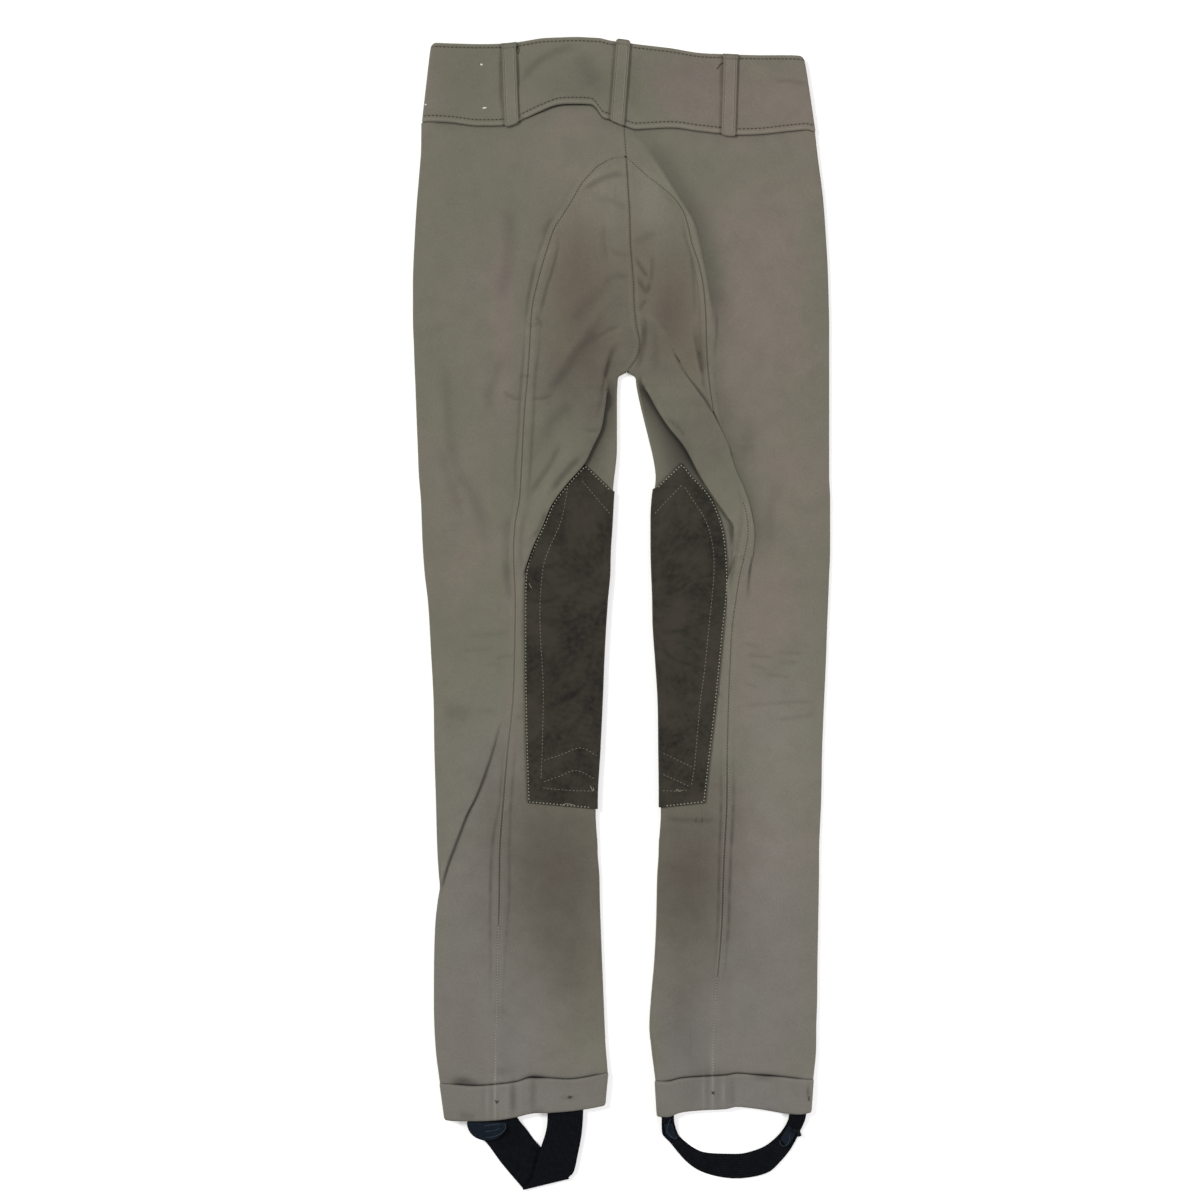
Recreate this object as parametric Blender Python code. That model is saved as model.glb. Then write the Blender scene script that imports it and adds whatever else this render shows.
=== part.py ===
"""Riding breeches with knee patches, turned cuffs and foot straps, laid flat with the back up.

The cloth lies on z = 0, +Y points to the waist and +X to the wearer's right. Each piece of cloth is a sheet of
points through cross sections of the flattened garment, and gets its wall by moving the points to both sides.
Sizes are millimetres until a mesh is made. "down" is the distance below the top of the waistband, and "across"
is the distance out from the middle of the garment, on either leg.
"""

import math

import bmesh
import bpy
import numpy as np

MM = 0.001  # a millimetre in metres
LENGTH = 967.0  # from the top of the waistband to the tip of the left foot strap
CLOTH = 1.2  # wall of the stretch cloth
BAND = 2.2  # wall of the waistband and the cuffs, where the cloth lies double
SUEDE = 1.2  # wall of the knee patches
ELASTIC = 1.5  # wall of the foot straps
TAB = 1.0
LOOP = 1.4
GAP = 0.3  # between two pieces that touch
BEND = 0.8  # centreline radius of a fold in the back layer
LOOP_WIDTH = 12.0
LOOP_ARCH = 0.8  # how far the middle of a belt loop stands off the waistband
WAIST_LINE = 77.0  # level of the waistband's lower edge, about which it waves
CUFF_LINE = 876.0  # level of the cuffs' upper edge, about which it waves
WAVE_REACH = 50.0  # how far such a wave reaches into the panels
SADDLE_TOP = 100.4  # where the two saddle seams meet the centre-back seam
SEAT_TOP = 101.6  # level of the seat panels' first row, just wide enough to be cloth
CROTCH = 280.6
FLY_WIDTH = 34.0
FLY_STRAIGHT = 178.0  # level where the fly's edge starts to curve in
FLY_END = 222.0
SIDES = {"left": -1, "right": 1}
COLOURS = {
    "cloth": (0.158, 0.145, 0.122),
    "suede": (0.042, 0.038, 0.029),
    "elastic": (0.004, 0.005, 0.007),
    "tab": (0.010, 0.018, 0.028),
}


def table(columns, *rows):
    """A table with named columns. The first column rises from row to row."""
    values = np.array(rows, float)
    return {name: values[:, i] for i, name in enumerate(columns.split())}


def read(rows, column, place):
    """A column of a table at a place along its first column, on a smooth curve that never overshoots its rows."""
    at = next(iter(rows.values()))
    value = rows[column]
    slope = np.diff(value) / np.diff(at)
    tangent = np.concatenate([slope[:1], (slope[1:] + slope[:-1]) / 2, slope[-1:]])
    turning = np.concatenate([[False], slope[1:] * slope[:-1] <= 0, [False]])
    limit = 3 * np.minimum(np.abs(np.append(slope, slope[-1])), np.abs(np.insert(slope, 0, slope[0])))
    tangent = np.where(turning, 0, np.clip(tangent, -limit, limit))
    place = np.clip(place, at[0], at[-1])
    k = np.clip(np.searchsorted(at, place) - 1, 0, len(at) - 2)
    width = at[k + 1] - at[k]
    t = (place - at[k]) / width
    return (
        value[k] * (1 + 2 * t) * (1 - t) ** 2
        + tangent[k] * width * t * (1 - t) ** 2
        + value[k + 1] * t * t * (3 - 2 * t)
        + tangent[k + 1] * width * t * t * (t - 1)
    )


# Sections of the trunk: x of the folds at the sides, the saddle seams, the centre back and the centre front.
TRUNK = table(
    "down left_outer left_seam back front right_seam right_outer",
    (77.0, -168.0, 2.1, 2.1, 0.0, 2.1, 162.5),
    (100.4, -168.4, 3.8, 3.8, 0.5, 3.8, 165.0),
    (104.6, -168.8, -8.0, 4.1, 0.6, 8.6, 165.5),
    (109.0, -169.2, -16.2, 4.4, 0.7, 13.6, 166.0),
    (116.0, -169.9, -25.0, 4.9, 0.9, 21.0, 166.9),
    (123.0, -170.5, -33.0, 5.3, 1.0, 30.0, 167.8),
    (134.0, -171.5, -39.6, 6.0, 1.2, 42.5, 169.1),
    (147.0, -172.4, -47.6, 6.8, 1.5, 51.8, 170.2),
    (160.0, -173.2, -56.0, 7.1, 1.8, 56.0, 171.1),
    (174.0, -173.9, -61.0, 7.5, 2.1, 59.2, 172.0),
    (190.0, -174.7, -66.0, 8.8, 2.5, 64.5, 172.9),
    (206.0, -175.1, -70.4, 10.1, 2.8, 68.0, 173.5),
    (224.0, -175.1, -74.4, 10.6, 3.2, 70.0, 174.0),
    (241.0, -175.0, -76.0, 12.4, 3.6, 70.8, 174.3),
    (258.0, -174.3, -76.9, 15.4, 4.0, 71.2, 174.3),
    (268.0, -174.0, -77.5, 13.0, 4.2, 71.7, 174.3),
    (280.6, -173.5, -78.4, 4.4, 4.4, 72.6, 174.3),
)

# Sections of the legs, across. outer, inner: the folds at the sides. seam: the saddle seam on the back.
# front: the inner-leg seam on the front.
LEGS = {
    "left": table(
        "down outer seam inner front",
        (280.6, 173.5, 78.4, -4.2, -0.9),
        (284.5, 173.3, 78.7, 2.5, 6.5),
        (292.0, 173.0, 79.4, 3.4, 11.0),
        (303.7, 172.6, 80.5, 3.8, 16.0),
        (324.7, 171.8, 82.0, 3.8, 24.0),
        (349.9, 170.8, 83.2, 3.9, 32.0),
        (366.7, 170.1, 84.1, 4.6, 37.0),
        (387.7, 168.4, 85.6, 6.3, 41.0),
        (408.7, 167.6, 89.2, 7.4, 43.5),
        (429.7, 166.7, 90.3, 8.8, 45.5),
        (450.7, 165.1, 89.8, 9.4, 46.5),
        (471.7, 162.6, 89.0, 11.3, 48.5),
        (513.7, 160.0, 89.6, 13.9, 51.0),
        (555.7, 157.8, 91.0, 15.6, 52.5),
        (597.7, 157.1, 95.4, 17.6, 54.5),
        (639.7, 155.8, 99.0, 19.8, 57.0),
        (681.7, 154.6, 102.0, 19.9, 57.0),
        (702.7, 153.3, 102.3, 18.4, 55.5),
        (711.9, 152.5, 102.4, 18.2, 55.2),
        (723.7, 154.2, 102.5, 18.0, 55.0),
        (744.7, 156.4, 103.1, 17.3, 54.5),
        (807.7, 157.5, 104.6, 14.8, 52.0),
        (849.7, 155.8, 105.4, 13.0, 50.0),
        (876.0, 152.5, 105.4, 11.3, 48.5),
    ),
    "right": table(
        "down outer seam inner front",
        (280.6, 174.3, 72.6, 4.6, 7.9),
        (284.5, 174.3, 73.0, 11.2, 15.2),
        (292.0, 174.3, 73.9, 12.4, 20.0),
        (303.7, 174.3, 75.4, 14.7, 27.0),
        (318.8, 174.3, 78.0, 18.3, 34.0),
        (337.7, 174.3, 84.0, 23.0, 45.0),
        (349.9, 174.3, 88.2, 25.8, 51.5),
        (366.7, 174.3, 94.0, 27.3, 58.0),
        (387.7, 175.1, 101.2, 25.0, 58.5),
        (403.8, 175.1, 105.2, 24.2, 58.8),
        (413.7, 175.1, 105.9, 24.2, 59.2),
        (434.7, 175.0, 102.9, 24.3, 60.5),
        (450.7, 174.3, 99.0, 24.8, 62.0),
        (467.5, 173.7, 96.4, 25.5, 64.0),
        (493.5, 172.6, 92.8, 26.0, 67.0),
        (522.1, 171.6, 91.1, 28.0, 71.5),
        (555.7, 170.1, 89.7, 30.1, 77.0),
        (597.7, 168.4, 88.6, 30.7, 81.5),
        (639.7, 167.6, 88.3, 31.1, 85.0),
        (681.7, 165.9, 86.3, 31.0, 85.0),
        (702.7, 165.8, 85.4, 29.8, 84.0),
        (744.7, 165.1, 84.0, 28.8, 82.0),
        (775.7, 164.5, 81.6, 27.2, 80.0),
        (807.7, 164.2, 78.4, 24.4, 77.0),
        (828.7, 163.5, 77.5, 23.2, 76.0),
        (849.7, 163.3, 76.9, 24.8, 77.0),
        (876.0, 161.0, 77.0, 28.0, 80.0),
    ),
}

# Heights of the centreline: of the back layer at the outer fold and at the inner one, how far it puffs up
# between them, and of the front layer at the inner fold, which the knee patch lifts off the ground.
HEIGHTS = table(
    "down outer_top inner_top puff inner_bottom",
    (77.0, 3.9, 4.6, 0.5, 0.6),
    (120.0, 3.4, 4.8, 0.9, 0.6),
    (200.0, 3.2, 4.8, 1.4, 0.6),
    (268.0, 3.1, 4.4, 1.4, 0.6),
    (284.5, 3.1, 3.7, 1.3, 0.6),
    (345.0, 3.0, 3.8, 1.0, 0.6),
    (375.0, 3.0, 4.1, 0.9, 2.1),
    (500.0, 3.0, 4.2, 1.0, 2.1),
    (650.0, 3.0, 4.1, 1.0, 2.1),
    (681.0, 3.0, 3.7, 1.1, 0.6),
    (780.0, 3.4, 3.7, 1.2, 0.6),
    (876.0, 4.9, 4.9, 0.1, 0.6),
)

# Folds of cloth that lap over their neighbour. edge: across, at the fold's rim. turn: degrees that the cloth
# turns back on itself, 180 when it lies flat on what it covers. lap: length of the stretch that runs back.
FLAPS = {
    "left": table(
        "down edge turn lap",
        (290.0, 11.7, 0, 3.0),
        (303.7, 12.9, 130, 3.0),
        (313.0, 14.1, 180, 4.0),
        (329.0, 17.2, 180, 5.0),
        (343.0, 23.9, 180, 7.0),
        (357.4, 31.0, 180, 8.0),
        (373.4, 44.9, 180, 9.0),
        (390.2, 57.5, 180, 9.0),
        (412.0, 67.1, 180, 7.0),
        (425.5, 73.5, 180, 4.5),
        (436.4, 77.4, 160, 3.0),
        (447.0, 82.0, 70, 2.5),
        (458.0, 85.5, 0, 2.5),
    ),
    "right": table(
        "down edge turn lap",
        (288.0, 16.4, 0, 3.0),
        (303.7, 25.0, 150, 3.0),
        (312.0, 29.6, 180, 4.0),
        (326.0, 38.7, 180, 5.0),
        (342.3, 51.7, 180, 6.0),
        (367.5, 65.5, 180, 8.0),
        (386.8, 77.7, 180, 6.0),
        (401.1, 87.8, 180, 3.0),
        (410.3, 93.7, 180, 1.5),
        (425.5, 94.2, 180, 1.5),
        (436.4, 94.2, 140, 1.5),
        (447.0, 93.9, 70, 2.0),
        (458.0, 92.5, 0, 2.5),
    ),
}
ROLL = table(
    "down edge turn lap",
    (250.0, 36.0, 0, 3.0),
    (268.0, 45.5, 50, 3.0),
    (283.5, 54.2, 110, 3.0),
    (299.5, 65.5, 160, 4.0),
    (312.0, 74.6, 180, 4.5),
    (326.0, 82.0, 180, 5.0),
    (342.3, 89.5, 180, 6.0),
    (363.3, 96.4, 180, 7.0),
    (386.8, 105.9, 180, 8.0),
    (403.6, 110.1, 180, 8.0),
    (417.9, 111.3, 180, 8.0),
    (434.7, 110.1, 180, 8.5),
    (446.1, 100.4, 120, 3.0),
    (458.0, 95.0, 0, 3.0),
)
CREASE = table(
    "down edge turn lap",
    (566.0, 98.5, 0, 2.0),
    (592.6, 106.7, 60, 1.5),
    (613.6, 113.8, 80, 1.2),
    (637.1, 122.6, 90, 1.0),
    (651.4, 129.8, 90, 1.0),
    (674.1, 139.2, 80, 1.0),
    (695.1, 144.5, 50, 1.2),
    (712.0, 147.0, 0, 1.5),
)
ROLL_SPAN = (250.0, 458.0)
FLAP_SPANS = {"left": (290.0, 458.0), "right": (288.0, 458.0)}
CREASE_SPAN = (566.0, 712.0)
FLAP_REACH = 30.0  # how far outwards the left flap lifts the cloth beside its rim

# Soft ridges and hollows of the back layer: each runs between two places, x to the wearer's right.
RELIEF = table(
    "start_x start_down end_x end_down half_width height",
    (-66.0, 52.0, -34.0, 40.0, 20.0, 2.6),
    (20.6, 93.7, 49.1, 133.1, 9.0, 1.6),
    (49.1, 133.1, 68.0, 176.0, 9.0, 1.4),
    (68.0, 176.0, 78.0, 250.0, 9.0, 2.0),
    (-8.0, 251.0, -48.0, 300.0, 8.0, -1.2),
    (-22.0, 222.0, -58.0, 280.0, 9.0, 0.9),
    (16.0, 222.0, 36.0, 254.0, 7.0, 1.1),
    (-30.0, 130.0, -52.0, 190.0, 12.0, 0.9),
    (-120.0, 690.0, -146.0, 735.0, 9.0, 0.9),
)

# Edges that wave, by x to the wearer's right.
BAND_EDGES = table(
    "x top bottom",
    (-167.5, 6.0, 71.4),
    (-160.0, 4.6, 71.0),
    (-143.0, 5.2, 71.8),
    (-119.0, 5.9, 74.6),
    (-98.0, 5.6, 74.3),
    (-86.0, 4.2, 70.7),
    (-68.0, 1.3, 62.8),
    (-53.0, 0.4, 57.2),
    (-38.5, 0.0, 56.4),
    (-26.0, 0.5, 58.0),
    (-18.0, 0.9, 65.5),
    (-10.0, 2.9, 69.3),
    (3.8, 4.8, 75.2),
    (12.2, 6.0, 77.6),
    (22.3, 7.2, 77.0),
    (41.6, 9.5, 76.2),
    (64.3, 13.3, 79.0),
    (84.0, 14.3, 81.2),
    (96.2, 14.8, 82.2),
    (117.2, 15.2, 81.6),
    (140.0, 15.2, 79.0),
    (155.0, 16.0, 77.8),
    (163.0, 17.5, 80.1),
)
BAND_SIDES = {"left": (160.0, 167.6), "right": (153.4, 162.9)}  # across, at its upper and lower edge
BAND_DIP = 11.0  # how much lower the front of the waistband hangs in the middle
CUFF_EDGES = {
    "left": table(
        "x top bottom",
        (-153.0, 876.3, 906.4),
        (-146.0, 877.0, 907.6),
        (-122.0, 878.7, 908.4),
        (-103.7, 877.4, 907.4),
        (-88.6, 875.5, 905.0),
        (-75.5, 872.0, 901.9),
        (-62.6, 872.2, 901.4),
        (-45.0, 873.2, 900.2),
        (-26.0, 870.7, 897.6),
        (-11.5, 867.3, 894.6),
    ),
    "right": table(
        "x top bottom",
        (28.0, 874.5, 904.3),
        (38.0, 874.9, 904.9),
        (49.1, 872.4, 901.2),
        (65.5, 871.1, 899.3),
        (88.0, 869.8, 898.0),
        (97.0, 868.4, 896.3),
        (114.2, 869.8, 898.0),
        (137.0, 871.5, 901.8),
        (149.1, 872.8, 902.6),
        (161.5, 873.3, 900.5),
    ),
}
CUFF_TOP_HEIGHT = 5.4  # of the back layer's centreline
CUFF_PROUD = 0.4  # how far the cuffs stand out at the sides
CUFF_STEPS = 14
BAND_STEPS = 30
SHARED_ROWS = 12.0  # within this of the waistband or a cuff, panels have the same columns as it
CUFF_TAPER = {"left": (4.2, 2.6), "right": (2.0, 1.8)}  # how far the outer and the inner side draw in

# edge: the patch's outer edge on the back. across, as in LEGS.
PATCHES = {
    "left": table(
        "down edge",
        (358.4, 30.2),
        (373.4, 42.0),
        (390.2, 54.6),
        (407.8, 63.8),
        (422.1, 71.0),
        (436.4, 76.4),
        (447.0, 78.6),
        (459.1, 80.2),
        (493.5, 81.3),
        (577.5, 80.4),
        (641.5, 78.4),
    ),
    "right": table(
        "down edge",
        (357.0, 50.4),
        (369.2, 60.1),
        (381.8, 72.0),
        (399.4, 81.1),
        (414.5, 85.7),
        (434.7, 88.1),
        (454.9, 89.0),
        (465.8, 88.6),
        (493.5, 85.7),
        (549.8, 80.2),
        (605.2, 73.9),
        (641.5, 69.8),
    ),
}
# Levels of the patch's top and bottom edges: at its outer corner, at the inner fold and at its front corner.
PATCH_ENDS = {
    "left": {"top": (358.4, 381.0, 402.0), "bottom": (641.5, 647.0, 646.0)},
    "right": {"top": (357.0, 379.0, 398.0), "bottom": (641.5, 645.6, 645.0)},
}
PATCH_MARGIN = 9.5  # between the patch's front edge and the seam on the front

# Edges of the foot straps along their length. lift: height of the underside.
STRAPS = {
    "left": table(
        "along left_x left_down right_x right_down lift",
        (0.0, -130.0, 897.0, -91.0, 894.0, 2.5),
        (14.0, -129.2, 910.0, -86.5, 907.0, 2.5),
        (24.0, -121.0, 919.5, -79.0, 917.0, 0.6),
        (32.0, -114.5, 926.0, -74.0, 924.0, 0.0),
        (60.0, -101.0, 944.0, -58.5, 941.0, 0.0),
        (96.0, -83.0, 965.3, -44.5, 956.0, 0.0),
    ),
    "left_over": table(
        "along left_x left_down right_x right_down lift",
        (0.0, -83.0, 965.3, -44.5, 956.0, 1.8),
        (14.0, -75.5, 957.0, -40.0, 951.0, 1.8),
        (30.0, -69.0, 935.0, -36.5, 936.0, 1.8),
        (48.0, -63.6, 918.0, -33.5, 920.0, 1.9),
        (60.0, -62.2, 908.0, -32.4, 908.0, 2.5),
        (80.0, -62.0, 893.0, -32.0, 891.0, 2.5),
    ),
    "right": table(
        "along left_x left_down right_x right_down lift",
        (0.0, 44.5, 893.0, 34.5, 893.0, 2.5),
        (14.0, 44.0, 906.5, 33.6, 908.5, 2.5),
        (26.0, 47.5, 920.0, 34.0, 918.5, 0.6),
        (38.0, 53.6, 926.5, 41.5, 928.0, 0.0),
        (54.0, 61.6, 932.2, 54.5, 943.0, 0.0),
        (74.0, 72.0, 935.8, 70.0, 952.6, 0.0),
        (98.0, 96.0, 936.8, 96.0, 957.2, 0.0),
        (122.0, 112.0, 933.8, 121.5, 952.8, 0.0),
        (140.0, 123.0, 928.6, 132.7, 943.8, 0.0),
        (154.0, 132.3, 920.3, 142.6, 931.5, 0.0),
        (166.0, 138.0, 912.0, 149.8, 917.5, 0.6),
        (180.0, 140.6, 903.0, 154.6, 904.5, 2.5),
        (194.0, 140.9, 890.0, 155.4, 890.0, 2.5),
    ),
}


def smooth(value, start, end):
    """0 before start, 1 after end and a soft step between them."""
    t = np.clip((value - start) / (end - start), 0, 1)
    return t * t * (3 - 2 * t)


def relief(x, down):
    """Height that the soft ridges and hollows add at a place."""
    total = 0.0
    for x0, d0, x1, d1, half_width, height in zip(*RELIEF.values()):
        run = np.array([x1 - x0, d1 - d0])
        along = np.clip(((x - x0) * run[0] + (down - d0) * run[1]) / (run @ run), 0, 1)
        away = np.hypot(x - x0 - along * run[0], down - d0 - along * run[1])
        total = total + height * np.exp(-((away / half_width) ** 2))
    return total


def line(leg, name, down):
    """Across position of a fold or seam: outer, seam, inner or front."""
    if down >= CROTCH:
        return read(LEGS[leg], name, down)
    if name == "seam" and down < SADDLE_TOP:
        name = "inner"
    column = {"outer": f"{leg}_outer", "seam": f"{leg}_seam", "inner": "back", "front": "front"}[name]
    return SIDES[leg] * read(TRUNK, column, down)


def base_height(leg, across, down):
    """Centreline height of the back layer where nothing lifts it."""
    outer = line(leg, "outer", down)
    inner = line(leg, "inner", down)
    share = np.clip((outer - across) / (outer - inner), 0, 1)
    low = read(HEIGHTS, "outer_top", down)
    high = read(HEIGHTS, "inner_top", down)
    puff = read(HEIGHTS, "puff", down) * 4 * share * (1 - share)
    fade = smooth(share, 0.0, 0.08) * np.where(down < CROTCH, 1, smooth(1 - share, 0.0, 0.12))
    return low + (high - low) * smooth(share, 0, 1) + puff + fade * relief(SIDES[leg] * across, down)


def fold_profile(turn, lap, count):
    """A fold that rises from one level to the next: runs and heights of its points."""
    angle = math.radians(turn)
    bends = np.linspace(0, angle, count)
    run = BEND * np.sin(bends)
    height = BEND * (1 - np.cos(bends))
    back_run = run[-1] + lap * math.cos(angle) + BEND * (math.sin(angle) - np.sin(angle - bends))
    back_height = height[-1] + lap * math.sin(angle) + BEND * (np.cos(angle - bends) - math.cos(angle))
    return np.concatenate([run, back_run]), np.concatenate([height, back_height])


def fold_at(rows, down, rising, count=4):
    """Across and extra height of the points of a fold, met from the outside in."""
    turn = float(read(rows, "turn", down))
    run, height = fold_profile(turn, float(read(rows, "lap", down)), count)
    middle = run[-1] / 2 if turn < 90 else (run[-1] - BEND if rising else BEND)
    wall = CLOTH / 2 * math.sin(math.radians(min(turn, 90)))
    edge = read(rows, "edge", down)
    if rising:
        return edge + middle - wall - run, height
    return edge + middle + wall - run, height[-1] - height


def half_gap(leg, column, down):
    """Half the gap at a seam, measured across, so that it is whole at right angles to the seam."""
    below = down if down >= CROTCH else min(down + 0.5, CROTCH - 0.01)
    slope = (line(leg, column, below + 0.5) - line(leg, column, below)) / 0.5
    return GAP / 2 * math.sqrt(1 + min(abs(float(slope)), 2.5) ** 2)


def flap_lift(leg, across, down):
    """How far the left flap lifts the cloth outside its rim."""
    if leg == "right" or not FLAP_SPANS[leg][0] < down < FLAP_SPANS[leg][1]:
        return 0.0 * across
    where, height = fold_at(FLAPS[leg], down, rising=False)
    return height[0] * (1 - smooth(across, where[0], where[0] + FLAP_REACH))


def arc(centre, height, radius, start, end, count):
    """Across and height of points round a folded side."""
    angle = np.radians(np.linspace(start, end, count))
    return np.stack([centre + radius * np.cos(angle), height + radius * np.sin(angle)], 1)


def outer_section(leg, down):
    """An outer panel's section from its front edge round the outer fold to the saddle seam."""
    fold = line(leg, "outer", down)
    top = read(HEIGHTS, "outer_top", down)
    radius = (top - CLOTH / 2) / 2
    centre = fold - CLOTH / 2 - radius
    front = line(leg, "front", down) + half_gap(leg, "front", down)
    if leg == "left":
        front += fly_width(down)
    shared = [a for a in band_front_columns(leg) if down < WAIST_LINE + SHARED_ROWS and a > front + 1]
    bottom = np.array([[across, CLOTH / 2] for across in [front, *shared]])
    side = arc(centre, CLOTH / 2 + radius, radius, -90, 90, 5)
    seam = line(leg, "seam", down) + half_gap(leg, "seam", down)
    stations = np.linspace(0, 1, 8 if down < 300 else 5)[1:]
    shared = shared_columns(leg, down, centre, seam)
    if len(shared):
        stations = (centre - np.append(shared, seam)) / (centre - seam)
    if leg == "left" and CREASE_SPAN[0] < down < CREASE_SPAN[1]:
        bend, extra = fold_at(CREASE, down, rising=False)
        before = np.linspace(centre, bend[0], 4)[1:-1]
        after = np.linspace(bend[-1], seam, 4)[1:]
        across = np.concatenate([before, bend, after])
        reach = smooth(centre - before, 0, centre - bend[0])
        lift = np.concatenate([reach * extra[0], extra, 0 * after])
        stations = (centre - np.minimum.accumulate(across)) / (centre - seam)
    else:
        across = centre + (seam - centre) * stations
        lift = flap_lift(leg, across, down)
    back = np.stack([across, base_height(leg, across, down) + lift], 1)
    stations = np.concatenate([np.linspace(0, 0.9, len(bottom)), 1 + np.linspace(0, 1, len(side)), 2 + stations])
    return stations, np.concatenate([bottom, side, back])


def cuff_columns(leg, level):
    """Across positions of the points along a cuff's back, from its outer fold to its inner one."""
    radius = (CUFF_TOP_HEIGHT - BAND / 2) / 2
    outer = line(leg, "outer", CUFF_LINE) + CUFF_PROUD - CUFF_TAPER[leg][0] * level
    inner = line(leg, "inner", CUFF_LINE) - CUFF_PROUD + CUFF_TAPER[leg][1] * level
    return np.linspace(outer - BAND / 2 - radius, inner + BAND / 2 + radius, CUFF_STEPS + 1)


def shared_columns(leg, down, start, end):
    """Where a panel's row has the same points as the waistband or the cuff that it meets."""
    if down < WAIST_LINE + SHARED_ROWS:
        columns = SIDES[leg] * band_columns(1.0)
    elif down > CUFF_LINE - SHARED_ROWS:
        columns = cuff_columns(leg, 0.0)
    else:
        return []
    return np.sort(columns[(columns < start - 1) & (columns > end + 1)])[::-1]


def fly_width(down):
    """Width of the fly flap, which ends in a quarter round."""
    if down <= FLY_STRAIGHT:
        return FLY_WIDTH
    if down >= FLY_END:
        return 0.0
    return FLY_WIDTH * math.sqrt(1 - ((down - FLY_STRAIGHT) / (FLY_END - FLY_STRAIGHT)) ** 2)


def stretch(start, end, count, lift, stations):
    """Points of the back layer between two folds: stations, across positions and lifts."""
    across = np.linspace(start, end, count + 1)
    return np.linspace(*stations, count + 1), across, lift(across)


def seat_back(leg, down):
    """The back layer of a seat panel's section, from the saddle seam to the centre back or the inner fold."""
    seam = line(leg, "seam", down) - half_gap(leg, "seam", down)
    end = line(leg, "inner", down) + half_gap(leg, "inner", down) if down < CROTCH else inner_fold(leg, down)[0]
    roll = leg == "right" and ROLL_SPAN[0] < down < ROLL_SPAN[1]
    flap = FLAP_SPANS[leg][0] < down < FLAP_SPANS[leg][1]
    if not (roll or flap):
        return plain_seat_back(leg, down, seam, end)
    pieces = []
    start, level = seam, 0.0
    if roll:
        bend, extra = fold_at(ROLL, down, rising=True)
        pieces.append((np.array([0.0]), np.array([seam]), np.zeros(1)))
        pieces.append((np.linspace(1, 2, len(bend)), bend, extra))
        start, level = bend[-1], extra[-1]
    if flap:
        bend, extra = fold_at(FLAPS[leg], down, rising=False)
        run = start - bend[0]

        def lift(across):
            raised = level + (extra[0] - level) * smooth(start - across, 0, run)
            return raised if roll else flap_lift(leg, across, down)

        before = stretch(start, bend[0], 3, lift, (2, 3))
        pieces.append(tuple(part[1 if roll else 0 : -1] for part in before))
        pieces.append((np.linspace(3, 4, len(bend)), bend, extra))
        after = stretch(bend[-1], end, 4, lambda across: 0 * across, (4, 4.99))
        pieces.append(tuple(part[1:] for part in after))
    else:
        across = np.linspace(start, end, 6)[1:]
        edge = min(max(read(FLAPS[leg], "edge", down), end + 3), start - 3)
        stations = np.interp(-across, [-start, -edge - 0.01, -edge, -end], [2, 3, 4, 4.99])
        pieces.append((stations, across, level * (1 - smooth(start - across, 0, 25))))
    stations, across, lift = (np.concatenate(column) for column in zip(*pieces))
    return stations, np.stack([across, base_height(leg, across, down) + lift], 1)


def plain_seat_back(leg, down, seam, end):
    """A row with no fold. Its stations keep its points beside those of rows that have folds."""
    across = np.linspace(seam, end, 7 if down < CROTCH else 5)
    shared = shared_columns(leg, down, seam, end)
    if len(shared):
        across = np.concatenate([[seam], shared, [end]])
    room = seam - end
    flap = min(max(read(FLAPS[leg], "edge", down), end + 0.1 * room), seam - 0.1 * room)
    marks, stations = [-seam, -flap - 0.01, -flap, -end], [2, 3, 4, 4.99]
    if leg == "right":
        roll = min(max(read(ROLL, "edge", down), flap + 0.3 * (seam - flap)), seam - 0.05 * room)
        marks, stations = [-seam, -roll - 0.01, -roll, *marks[1:]], [0, 1, 2, *stations[1:]]
    return np.interp(-across, marks, stations), np.stack([across, base_height(leg, across, down)], 1)


def inner_fold(leg, down, out=0.0):
    """Centre, height, radius and lower height of the inner fold, for cloth or for what lies out from it."""
    top = read(HEIGHTS, "inner_top", down)
    bottom = read(HEIGHTS, "inner_bottom", down)
    radius = (top - bottom) / 2
    patched = (bottom - CLOTH / 2) / (GAP + SUEDE)  # 1 where the patch lies outside the cloth
    centre = line(leg, "inner", down) + CLOTH / 2 + radius + patched * (GAP + SUEDE)
    return centre, bottom + radius, radius + out, bottom - out


def seat_front(leg, down):
    """The rest of a seat panel's section: round the inner fold to the seam on the front."""
    centre, height, radius, bottom = inner_fold(leg, down)
    side = arc(centre, height, radius, 90, 270, 6)[1:]
    seam = line(leg, "front", down) - half_gap(leg, "front", down)
    flat_end = max(seam - PATCH_MARGIN + 1.5, centre + 0.3 * (seam - centre))
    front = np.array([[flat_end, bottom], [max(seam - 0.5, (flat_end + seam) / 2), CLOTH / 2], [seam, CLOTH / 2]])
    return np.concatenate([5 + np.linspace(0.2, 1, 5), [7, 7.9, 8]]), np.concatenate([side, front])


def edge_level(rows, column, x, height, dip=0.0):
    """Level of a waving edge: its own curve on the back layer, and a plain line with a dip on the front one."""
    ends = rows["x"][0], rows["x"][-1]
    share = np.clip((x - ends[0]) / (ends[1] - ends[0]), 0, 1)
    plain = rows[column][0] * (1 - share) + rows[column][-1] * share + dip * 4 * share * (1 - share)
    back = smooth(height, 1.2, 3.2)
    return back * read(rows, column, x) + (1 - back) * plain


def waved(leg, x, height, down):
    """The level of a point, moved where the waistband's or a cuff's edge waves."""
    near_waist = 1 - smooth(down, WAIST_LINE, WAIST_LINE + WAVE_REACH)
    near_cuff = smooth(down, CUFF_LINE - WAVE_REACH, CUFF_LINE)
    waist = edge_level(BAND_EDGES, "bottom", x, height, BAND_DIP)
    cuff = edge_level(CUFF_EDGES[leg], "top", x, height)
    return down + near_waist * (waist + GAP - WAIST_LINE) + near_cuff * (cuff - GAP - CUFF_LINE)


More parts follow.
